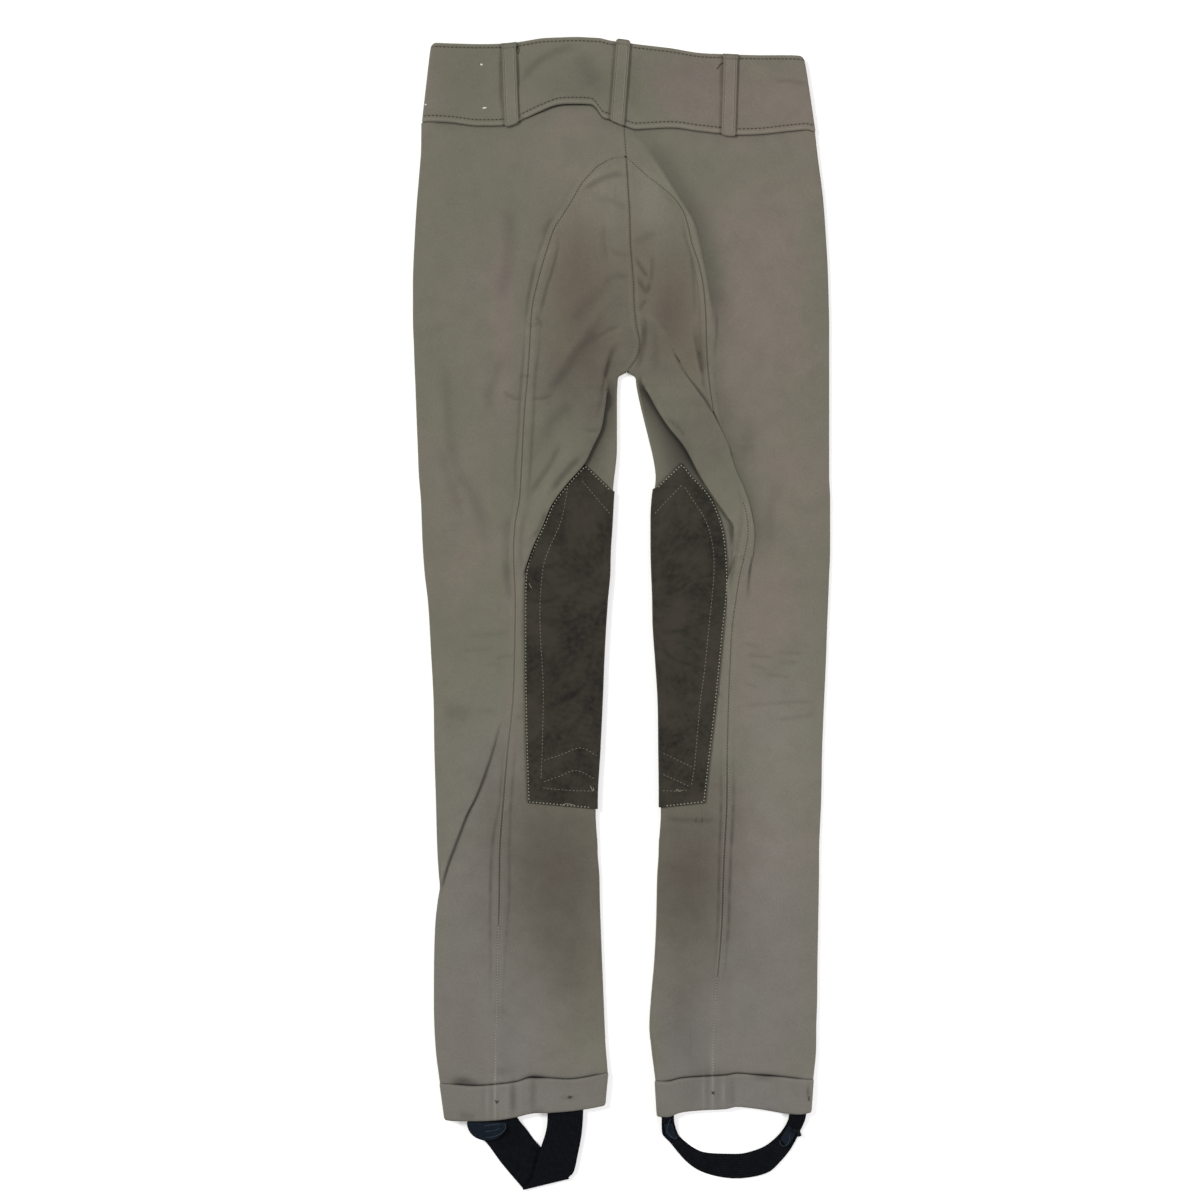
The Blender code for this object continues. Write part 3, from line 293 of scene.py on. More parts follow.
# Soft ridges and hollows of the back layer: each runs between two places, x to the wearer's right.
RELIEF = table(
    "start_x start_down end_x end_down half_width height",
    (-66.0, 52.0, -34.0, 40.0, 20.0, 2.6),
    (20.6, 93.7, 49.1, 133.1, 9.0, 1.6),
    (49.1, 133.1, 68.0, 176.0, 9.0, 1.4),
    (68.0, 176.0, 78.0, 250.0, 9.0, 2.0),
    (-8.0, 251.0, -48.0, 300.0, 8.0, -1.2),
    (-22.0, 222.0, -58.0, 280.0, 9.0, 0.9),
    (16.0, 222.0, 36.0, 254.0, 7.0, 1.1),
    (-30.0, 130.0, -52.0, 190.0, 12.0, 0.9),
    (-120.0, 690.0, -146.0, 735.0, 9.0, 0.9),
)

# Edges that wave, by x to the wearer's right.
BAND_EDGES = table(
    "x top bottom",
    (-167.5, 6.0, 71.4),
    (-160.0, 4.6, 71.0),
    (-143.0, 5.2, 71.8),
    (-119.0, 5.9, 74.6),
    (-98.0, 5.6, 74.3),
    (-86.0, 4.2, 70.7),
    (-68.0, 1.3, 62.8),
    (-53.0, 0.4, 57.2),
    (-38.5, 0.0, 56.4),
    (-26.0, 0.5, 56.8),
    (-21.5, 0.7, 59.8),
    (-18.4, 0.9, 64.2),
    (-16.0, 1.4, 67.4),
    (-10.0, 2.9, 69.4),
    (3.8, 4.8, 75.2),
    (12.2, 6.0, 77.6),
    (22.3, 7.2, 77.0),
    (41.6, 9.5, 76.2),
    (64.3, 13.3, 79.0),
    (84.0, 14.3, 81.2),
    (96.2, 14.8, 82.2),
    (117.2, 15.2, 81.6),
    (140.0, 15.2, 79.0),
    (155.0, 16.0, 77.8),
    (163.0, 17.5, 80.1),
)
BAND_SIDES = {"left": (160.0, 167.6), "right": (153.4, 162.9)}  # across, at its upper and lower edge
BAND_DIP = 11.0  # how much lower the front of the waistband hangs in the middle
CUFF_EDGES = {
    "left": table(
        "x top bottom",
        (-153.0, 876.3, 906.4),
        (-146.0, 877.0, 907.6),
        (-122.0, 878.7, 908.4),
        (-103.7, 877.4, 907.4),
        (-88.6, 875.5, 905.0),
        (-75.5, 872.0, 901.9),
        (-62.6, 872.2, 901.4),
        (-45.0, 873.2, 900.2),
        (-26.0, 870.7, 897.6),
        (-11.5, 867.3, 894.6),
    ),
    "right": table(
        "x top bottom",
        (28.0, 874.5, 904.3),
        (38.0, 874.9, 904.9),
        (49.1, 872.4, 901.2),
        (65.5, 871.1, 899.3),
        (88.0, 869.8, 898.0),
        (97.0, 868.4, 896.3),
        (114.2, 869.8, 898.0),
        (137.0, 871.5, 901.8),
        (149.1, 872.8, 902.6),
        (161.5, 873.3, 900.5),
    ),
}
CUFF_TOP_HEIGHT = 5.4  # of the back layer's centreline
CUFF_PROUD = 0.4  # how far the cuffs stand out at the sides
CUFF_HEIGHT = 30.0
CUFF_TAPER = {"left": (4.2, 2.6), "right": (2.0, 1.8)}  # how far the outer and the inner side draw in

# edge: the patch's outer edge on the back. across, as in LEGS.
PATCHES = {
    "left": table(
        "down edge",
        (358.4, 30.2),
        (373.4, 43.8),
        (390.2, 56.8),
        (407.8, 64.7),
        (422.1, 71.4),
        (436.4, 77.2),
        (447.0, 80.0),
        (459.1, 80.9),
        (493.5, 81.3),
        (577.5, 80.4),
        (641.5, 78.4),
    ),
    "right": table(
        "down edge",
        (357.0, 50.4),
        (369.2, 60.1),
        (381.8, 72.0),
        (399.4, 81.1),
        (414.5, 85.7),
        (434.7, 88.1),
        (454.9, 89.0),
        (465.8, 88.6),
        (493.5, 85.7),
        (549.8, 80.2),
        (605.2, 73.9),
        (641.5, 69.8),
    ),
}
# Levels of the patch's top and bottom edges: at its outer corner, at the inner fold and at its front corner.
PATCH_ENDS = {
    "left": {"top": (358.4, 381.0, 402.0), "bottom": (641.5, 647.0, 646.0)},
    "right": {"top": (357.0, 379.0, 398.0), "bottom": (641.5, 645.6, 645.0)},
}
PATCH_SINK = 0.5  # how far the cloth under a patch is pressed down
PATCH_MARGIN = 9.5  # between the patch's front edge and the seam on the front

# Edges of the foot straps along their length. lift: height of the underside.
STRAPS = {
    "left": table(
        "along left_x left_down right_x right_down lift",
        (0.0, -130.0, 897.0, -91.0, 894.0, 2.5),
        (14.0, -129.2, 910.0, -86.5, 907.0, 2.5),
        (24.0, -121.0, 919.5, -79.0, 917.0, 0.6),
        (32.0, -114.5, 926.0, -74.0, 924.0, 0.0),
        (60.0, -101.0, 944.0, -58.5, 941.0, 0.0),
        (96.0, -83.0, 965.3, -44.5, 956.0, 0.0),
    ),
    "left_over": table(
        "along left_x left_down right_x right_down lift",
        (0.0, -83.0, 965.3, -44.5, 956.0, 1.8),
        (14.0, -75.5, 957.0, -40.0, 951.0, 1.8),
        (30.0, -69.0, 935.0, -36.5, 936.0, 1.8),
        (48.0, -63.6, 918.0, -33.5, 920.0, 1.9),
        (60.0, -62.2, 908.0, -32.4, 908.0, 2.5),
        (80.0, -62.0, 893.0, -32.0, 891.0, 2.5),
    ),
    "right": table(
        "along left_x left_down right_x right_down lift",
        (0.0, 44.5, 893.0, 34.5, 893.0, 2.5),
        (14.0, 44.0, 906.5, 33.6, 908.5, 2.5),
        (26.0, 47.5, 920.0, 34.0, 918.5, 0.6),
        (38.0, 53.6, 926.5, 41.5, 928.0, 0.0),
        (54.0, 61.6, 932.2, 54.5, 943.0, 0.0),
        (74.0, 72.0, 935.8, 70.0, 952.6, 0.0),
        (98.0, 96.0, 936.8, 96.0, 957.2, 0.0),
        (122.0, 112.0, 933.8, 121.5, 952.8, 0.0),
        (140.0, 123.0, 928.6, 132.7, 943.8, 0.0),
        (154.0, 132.3, 920.3, 142.6, 931.5, 0.0),
        (166.0, 138.0, 912.0, 149.8, 917.5, 0.6),
        (180.0, 140.6, 903.0, 154.6, 904.5, 2.5),
        (194.0, 140.9, 890.0, 155.4, 890.0, 2.5),
    ),
}


def smooth(value, start, end):
    """0 before start, 1 after end and a soft step between them."""
    t = np.clip((value - start) / (end - start), 0, 1)
    return t * t * (3 - 2 * t)


def window(value, start, full, fade, end):
    """0 outside start and end, 1 between full and fade."""
    return smooth(value, start, full) * (1 - smooth(value, fade, end))


def bell(value, width):
    """1 where a value is 0, and less the farther it is from that."""
    return np.exp(-((value / width) ** 2))


def relief(x, down):
    """Height that the soft ridges and hollows add at a place."""
    total = 0.0
    for x0, d0, x1, d1, half_width, height in zip(*RELIEF.values()):
        run = np.array([x1 - x0, d1 - d0])
        along = np.clip(((x - x0) * run[0] + (down - d0) * run[1]) / (run @ run), 0, 1)
        away = np.hypot(x - x0 - along * run[0], down - d0 - along * run[1])
        total = total + height * bell(away, half_width)
    return total


def line(leg, name, down):
    """Across position of a fold or seam: outer, seam, inner or front."""
    column = {"outer": f"{leg}_outer", "seam": f"{leg}_seam", "inner": "back", "front": "front"}[name]
    trunk = SIDES[leg] * read(TRUNK, column, down)
    if name == "seam":
        trunk = np.where(down < SADDLE_TOP, SIDES[leg] * read(TRUNK, "back", down), trunk)
    return np.where(down >= CROTCH, read(LEGS[leg], name, down), trunk)


def base_height(leg, across, down):
    """Centreline height of the back layer where nothing lifts it."""
    outer = line(leg, "outer", down)
    inner = line(leg, "inner", down)
    share = np.clip((outer - across) / (outer - inner), 0, 1)
    low = read(HEIGHTS, "outer_top", down)
    high = read(HEIGHTS, "inner_top", down)
    puff = read(HEIGHTS, "puff", down) * 4 * share * (1 - share)
    fade = smooth(share, 0.0, 0.08) * np.where(down < CROTCH, 1, smooth(1 - share, 0.0, 0.12))
    return low + (high - low) * smooth(share, 0, 1) + puff + fade * relief(SIDES[leg] * across, down)


def fold_profile(turn, lap, count):
    """A fold that rises from one level to the next: runs and heights of its points."""
    angle = math.radians(turn)
    bends = np.linspace(0, angle, count)
    run = BEND * np.sin(bends)
    height = BEND * (1 - np.cos(bends))
    back_run = run[-1] + lap * math.cos(angle) + BEND * (math.sin(angle) - np.sin(angle - bends))
    back_height = height[-1] + lap * math.sin(angle) + BEND * (np.cos(angle - bends) - math.cos(angle))
    return np.concatenate([run, back_run]), np.concatenate([height, back_height])


def fold_at(rows, down, rising, count=4):
    """Across and extra height of the points of a fold, met from the outside in."""
    turn = float(read(rows, "turn", down))
    run, height = fold_profile(turn, float(read(rows, "lap", down)), count)
    middle = run[-1] / 2 if turn < 90 else (run[-1] - BEND if rising else BEND)
    wall = CLOTH / 2 * math.sin(math.radians(min(turn, 90)))
    edge = read(rows, "edge", down)
    if rising:
        return edge + middle - wall - run, height
    return edge + middle + wall - run, height[-1] - height


def half_gap(leg, column, down):
    """Half the gap at a seam, measured across, so that it is whole at right angles to the seam."""
    below = np.where(down >= CROTCH, down, np.minimum(down + 0.5, CROTCH - 0.01))
    slope = (line(leg, column, below + 0.5) - line(leg, column, below)) / 0.5
    return SEAM_OPENING[column] / 2 * np.sqrt(1 + np.minimum(np.abs(slope), STEEPEST) ** 2)


def arc(centre, height, radius, start, end, count):
    """Across and height of points round a folded side."""
    angle = np.radians(np.linspace(start, end, count))
    return np.stack([centre + radius * np.cos(angle), height + radius * np.sin(angle)], 1)


def inner_fold(leg, down, out=0.0):
    """Centre, height, radius and lower height of the inner fold, for cloth or for what lies out from it."""
    top = read(HEIGHTS, "inner_top", down)
    bottom = read(HEIGHTS, "inner_bottom", down)
    radius = (top - bottom) / 2
    patched = (bottom - CLOTH / 2) / (GAP + SUEDE)  # 1 where the patch lies outside the cloth
    centre = line(leg, "inner", down) + CLOTH / 2 + radius + patched * (GAP + SUEDE)
    return centre, bottom + radius, radius + out, bottom - out


def edge_level(rows, column, x, height, dip=0.0):
    """Level of a waving edge: its own curve on the back layer, a plain line with a dip on the front one."""
    ends = rows["x"][0], rows["x"][-1]
    share = np.clip((x - ends[0]) / (ends[1] - ends[0]), 0, 1)
    plain = rows[column][0] * (1 - share) + rows[column][-1] * share + dip * 4 * share * (1 - share)
    back = smooth(height, 1.2, 3.2)
    return back * read(rows, column, x) + (1 - back) * plain


def waved(leg, x, height, down):
    """The level of a point, moved where the waistband's or a cuff's edge waves."""
    near_waist = 1 - smooth(down, WAIST_LINE, WAIST_LINE + WAVE_REACH)
    near_cuff = smooth(down, CUFF_LINE - WAVE_REACH, CUFF_LINE)
    waist = edge_level(BAND_EDGES, "bottom", x, height, BAND_DIP)
    cuff = edge_level(CUFF_EDGES[leg], "top", x, height)
    return down + near_waist * (waist + GAP - WAIST_LINE) + near_cuff * (cuff - GAP - CUFF_LINE)


def fly_width(down):
    """Width of the fly flap, which ends in a quarter round."""
    past = np.clip((down - FLY_STRAIGHT) / (FLY_END - FLY_STRAIGHT), 0, 1)
    return FLY_WIDTH * np.sqrt(1 - past**2)


def cuff_ends(leg, level):
    """Across positions of the middles of a cuff's outer and inner folds."""
    radius = (CUFF_TOP_HEIGHT - BAND / 2) / 2
    outer = line(leg, "outer", CUFF_LINE) + CUFF_PROUD - CUFF_TAPER[leg][0] * level
    inner = line(leg, "inner", CUFF_LINE) - CUFF_PROUD + CUFF_TAPER[leg][1] * level
    return outer - BAND / 2 - radius, inner + BAND / 2 + radius


def band_height(x, down):
    """Centreline height of the waistband's back layer."""
    share = np.clip((x + BAND_SIDES["left"][1]) / (BAND_SIDES["left"][1] + BAND_SIDES["right"][1]), 0, 1)
    return 4.2 + 0.9 * 4 * share * (1 - share) + relief(x, down) * smooth(share * (1 - share), 0, 0.05)


def band_fold(leg, level):
    """Centre and radius of the waistband's fold at a side. The centre is given across."""
    radius = (band_height(SIDES[leg] * BAND_SIDES[leg][1], WAIST_LINE) - BAND / 2) / 2
    return np.interp(level, [0, 1], BAND_SIDES[leg]) - BAND / 2 - radius, radius


def band_level(x, height, level):
    """Distance down of places on the waistband, level 0 at its upper edge and 1 at its lower one."""
    top = edge_level(BAND_EDGES, "top", x, height, BAND_DIP)
    bottom = edge_level(BAND_EDGES, "bottom", x, height, BAND_DIP)
    return top * (1 - level) + bottom * level


def strap_point(name, along, width_share):
    """A point on a strap's underside: width_share runs from its left edge to its right one."""
    rows = STRAPS[name]
    x, down = (
        read(rows, f"left_{axis}", along) * (1 - width_share)
        + read(rows, f"right_{axis}", along) * width_share
        for axis in ("x", "down")
    )
    return np.stack([x, LENGTH / 2 - down, read(rows, "lift", along) + 0 * x], -1)


# ---- Finer cloth -------------------------------------------------------------------------------------------

ROW_PITCH = 1.6  # between rows of points on the panels
PATCH_PITCH = 1.1
FOLD_STEPS = 6  # points on each of a fold's two bends
FOLD_SPREAD = 1.0  # half the width of a fold's points where it lies flat
FOLD_FADE = 30.0  # length over which those points drift to their plain place
NARROW = 0.06  # share of the room that they may take where it is short
PLAIN_RISE = (0.1, 0.8)  # heights of a fold between which the cloth that it hides turns plain
SEAM_ZONE = 14.0  # width beside a seam that has finer columns
GENTLE = np.random.default_rng(11)


def steps(count):
    """Number of steps in a stretch of points."""
    return count


def flat_fold(place):
    """Across positions of a fold's points where it lies flat about a place."""
    return place + np.linspace(FOLD_SPREAD, -FOLD_SPREAD, 2 * FOLD_STEPS)


def fine_fold(rows, span, down, rising, plain):
    """Across and extra height of a fold's points. Outside its span they lie flat about a plain place."""
    near = window(down, span[0] - FOLD_FADE, span[0], span[1], span[1] + FOLD_FADE)
    place = near * read(rows, "edge", down) + (1 - near) * plain
    across = flat_fold(place)
    if not span[0] < down < span[1]:
        return across, 0 * across
    where, height = fold_at(rows, down, rising, FOLD_STEPS)
    bent = smooth(read(rows, "turn", down), 0, 40)
    return bent * where + (1 - bent) * across, bent * height


def flap_rise(leg, across, down):
    """How far the left flap lifts the cloth outside its rim."""
    if leg == "right" or not FLAP_SPANS[leg][0] < down < FLAP_SPANS[leg][1]:
        return 0.0 * across
    where, height = fine_fold(FLAPS[leg], FLAP_SPANS[leg], down, False, 0.0)
    return height[0] * (1 - smooth(across, where[0], where[0] + FLAP_REACH))


def roll_level(down):
    """Height at which the roll's top lies, which goes down to nothing where it runs out."""
    return (FULL_RISE + RUN_OUT_LIFT) * (1 - smooth(down, *RUN_OUT_LEVELS))


def seam_columns(start, seam, count, zone_count, closest):
    """Places from start to a seam, with finer ones beside the seam."""
    zone = min(SEAM_ZONE, closest * abs(start - seam))
    turn = seam + math.copysign(zone, start - seam)
    return np.concatenate([np.linspace(start, turn, count + 1)[:-1], np.linspace(turn, seam, zone_count + 1)])


def outer_row(leg, down):
    """Across, height and back-layer weight of an outer panel's row, from front edge to saddle seam."""
    fold = line(leg, "outer", down)
    radius = (read(HEIGHTS, "outer_top", down) - CLOTH / 2) / 2
    centre = fold - CLOTH / 2 - radius
    fly = fly_width(down) if leg == "left" else 0
    front = line(leg, "front", down) + half_gap(leg, "front", down) + fly
    front_across = np.linspace(front, centre, steps(30) + 1)[:-1]
    side = arc(centre, CLOTH / 2 + radius, radius, -90, 90, steps(12) + 1)
    seam = line(leg, "seam", down) + half_gap(leg, "seam", down)
    plain = seam + 0.5 * (centre - seam)
    if leg == "left":
        bend, extra = fine_fold(CREASE, CREASE_SPAN, down, False, plain)
    else:
        bend = flat_fold(plain)
        extra = 0 * bend
    before = np.linspace(centre, bend[0], steps(34) + 1)[1:-1]
    after = seam_columns(bend[-1], seam, steps(28), steps(18), 0.5)[1:]
    across = np.concatenate([before, bend, after])
    rise = smooth(centre - before, 0, centre - bend[0]) * extra[0]
    lift = np.concatenate([rise, extra, 0 * after]) + flap_rise(leg, across, down)
    if leg == "right" and down > SKIRT_LEVELS[0]:
        skirt = window(down, *SKIRT_LEVELS, *RUN_OUT_LEVELS) * (FULL_RISE - SKIRT_DROP)
        if down <= ROLL_SPAN[1] - RUN_OUT_LEAD:
            past = across - read(ROLL, "edge", down)
            lift = lift + skirt * np.where(past > 0, np.exp(-np.maximum(past, 0) / SKIRT_REACH), 0)
        else:
            edge, width = read(RUN_OUT, "edge", down), read(RUN_OUT, "width", down)
            inside = roll_level(down) * (1 - smooth(across, edge - width / 2, edge + width / 2))
            beyond = skirt * np.exp(-np.maximum(across - edge, 0) / SKIRT_REACH) * (across > edge)
            lift = lift + np.maximum(inside, beyond)
    back = base_height(leg, across, down) + lift
    weight = smooth(centre - across, 2, 14)
    inside = len(before) + 2 + np.arange(2 * FOLD_STEPS - 4)
    weight[inside] *= 1 - smooth(extra[0], *PLAIN_RISE)
    return (
        np.concatenate([front_across, side[:, 0], across]),
        np.concatenate([0 * front_across + CLOTH / 2, side[:, 1], back]),
        np.concatenate([0 * front_across, 0 * side[:, 0], weight]),
    )


def seat_row(leg, down):
    """The same for a seat panel's back layer, from the saddle seam to the centre back or the inner fold."""
    seam = line(leg, "seam", down) - half_gap(leg, "seam", down)
    if down < CROTCH:
        end = line(leg, "inner", down) + half_gap(leg, "inner", down)
    else:
        end = inner_fold(leg, down)[0]
    room = seam - end
    edge = read(FLAPS[leg], "edge", down)
    flap_plain = np.clip(edge, end + 0.25 * room, seam - 0.4 * room)
    span = FLAP_SPANS[leg]
    flap, flap_extra = fine_fold(FLAPS[leg], span, down, False, flap_plain)
    narrow = min(1.0, NARROW * room / FOLD_SPREAD)
    flap = flap if span[0] < down < span[1] else flap.mean() + narrow * (flap - flap.mean())
    if leg == "right":
        roll_plain = np.clip(read(ROLL, "edge", down), end + 0.55 * room, seam - 0.12 * room)
        roll_plain = max(roll_plain, flap[0] + 0.15 * room)
        roll, roll_extra = fine_fold(ROLL, ROLL_SPAN, down, True, roll_plain)
        ran_out = down >= ROLL_SPAN[1]
        if ran_out:
            roll = roll - roll.mean() + seam - (2 + 0.1 * (down - ROLL_SPAN[1]))
        roll = roll if ROLL_SPAN[0] < down < ROLL_SPAN[1] else roll.mean() + narrow * (roll - roll.mean())
        outside = seam_columns(roll[0], seam, steps(14), steps(18), 0.5)[::-1]
        run = roll[-1] - flap[0]
        reach = ROLL_REACH + (run - ROLL_REACH) * smooth(down, 262, 288) * (1 - smooth(down, 458, 488))
        between = np.linspace(roll[-1], flap[0], steps(18) + 1)[1:-1]
        level = roll_level(down) - SEAT_UNDER if ran_out else roll_extra[-1]
        roll_extra = roll_extra + ran_out * level
        rise = level + (flap_extra[0] - level) * smooth(roll[-1] - between, 0, max(reach, 1))
        across = [outside[:-1], roll, between]
        lift = [0 * outside[:-1] + ran_out * level, roll_extra, rise]
        inside = 1.0 if ran_out else 1 - smooth(level, *PLAIN_RISE)
        weights = [
            np.where(outside[:-1] < roll[-1] + ROLL_COVER, inside, 1.0),
            np.where(np.arange(len(roll)) < len(roll) - 3, inside, 1),
            1 + 0 * between,
        ]
    else:
        outside = seam_columns(flap[0], seam, steps(24), steps(18), 0.5)[::-1]
        across, lift = [outside[:-1]], [flap_rise(leg, outside[:-1], down)]
        weights = [1 + 0 * outside[:-1]]
    after = flap[-1] + (end - flap[-1]) * np.linspace(0, 1, steps(36) + 1)[1:]
    hidden = 1 - smooth(flap_extra[0], *PLAIN_RISE)
    across += [flap, after]
    lift += [flap_extra, 0 * after]
    weights += [np.where(np.arange(len(flap)) > 1, hidden, 1), 1 + 0 * after]
    across, lift, weights = (np.concatenate(part) for part in (across, lift, weights))
    if down >= CROTCH:
        weights = weights * smooth(across - end, 0, 10)
    return across, base_height(leg, across, down) + lift, weights


def seat_front_row(leg, down):
    """The rest of a seat panel's row: round the inner fold to the seam on the front."""
    centre, height, radius, bottom = inner_fold(leg, down)
    side = arc(centre, height, radius, 90, 270, steps(10) + 1)
    seam = line(leg, "front", down) - half_gap(leg, "front", down)
    flat_end = max(seam - PATCH_MARGIN + 1.5, centre + 0.3 * (seam - centre))
    across = seam_columns(centre, seam, steps(8), steps(8), 0.5)[1:]
    ramp = smooth(across, flat_end, max(seam - 0.5, (flat_end + seam) / 2))
    under = bottom + (CLOTH / 2 - bottom) * ramp
    return np.concatenate([side[:, 0], across]), np.concatenate([side[:, 1], under])


def normals_of(points, sign):
    """Unit normals of a grid of points."""
    normal = sign * np.cross(np.gradient(points, axis=1), np.gradient(points, axis=0))
    return normal / np.maximum(np.linalg.norm(normal, axis=-1, keepdims=True), 1e-9)


class Shell:
    """Grids of points on the outer face of a piece, joined into one mesh."""

    def __init__(self):
        self.points, self.faces, self.shades = [], [], []
        self.count = 0

    def add(self, points, shade=0.0):
        """Numbers of the added points, in the points' own arrangement."""
        numbers = self.count + np.arange(points[..., 0].size).reshape(points.shape[:-1])
        self.points.append(points.reshape(-1, 3))
        self.shades.append(np.broadcast_to(shade, points.shape[:-1]).reshape(-1))
        self.count += numbers.size
        return numbers

    def quads(self, numbers, sign=1):
        """Faces between the points of a numbered grid."""
        corners = [numbers[:-1, :-1], numbers[:-1, 1:], numbers[1:, 1:], numbers[1:, :-1]]
        faces = np.stack(corners, -1).reshape(-1, 4)
        self.faces.append(faces if sign > 0 else faces[:, ::-1])

    def lip(self, path, points, normals, depth, sign=1, closed=True):
        """A border that runs from an edge into the wall. The path goes round as the faces do."""
        deeper = [path]
        for share in (0.35, 1.0):
            deeper.append(self.add(points - normals * depth * share, LIP_SHADE))
        strip = np.array(deeper)
        if closed:
            strip = np.concatenate([strip, strip[:, :1]], axis=1)
        self.quads(strip, -sign)

    def arrays(self):
        return np.concatenate(self.points), np.concatenate(self.faces), np.concatenate(self.shades)

    def make(self, name, material, nodes, slot):
        points, faces, shades = self.arrays()
        mesh = bpy.data.meshes.new(name)
        mesh.from_pydata((points * MM).tolist(), [], faces.tolist())
        mesh.shade_smooth()
        mesh.materials.append(material)
        x, down = points[:, 0], LENGTH / 2 - points[:, 1]
        for at_x, at_down, wide, long, dark in TONES:
            shades = shades + dark * np.exp(-(((x - at_x) / wide) ** 2) - ((down - at_down) / long) ** 2)
        for label, values in {"shade": shades, **marks_on(points)}.items():
            mesh.attributes.new(label, "FLOAT", "POINT").data.foreach_set("value", values)
        return dressed(name, mesh, nodes)


def dressed(name, mesh, nodes):
    """The object of a mesh, riding on the garment in place of some of its nodes."""
    thing = bpy.data.objects.new(name, mesh)
    bpy.context.collection.objects.link(thing)
    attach(thing, "root")
    if nodes:
        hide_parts(*nodes)
    return thing


def loop_of(grid):
    """The border of a grid, round in the order of its faces."""
    return np.concatenate([grid[0, :-1], grid[:-1, -1], grid[-1, :0:-1], grid[:0:-1, 0]])


def outer_face(points, normals, wall, rise):
    """Points half a wall and a rise out from the middle of the cloth."""
    return points + normals * (wall / 2 + rise)[..., None]


def skin(points, normals, wall, rise, shade, sign=1):
    """The outer face of a sheet given by its middle, with a lip all round."""
    face = outer_face(points, normals, wall, rise)
    shell = Shell()
    numbers = shell.add(face, shade)
    shell.quads(numbers, sign)
    shell.lip(loop_of(numbers), loop_of(face), loop_of(normals), wall, sign)
    return shell


# ---- Creases -----------------------------------------------------------------------------------------------

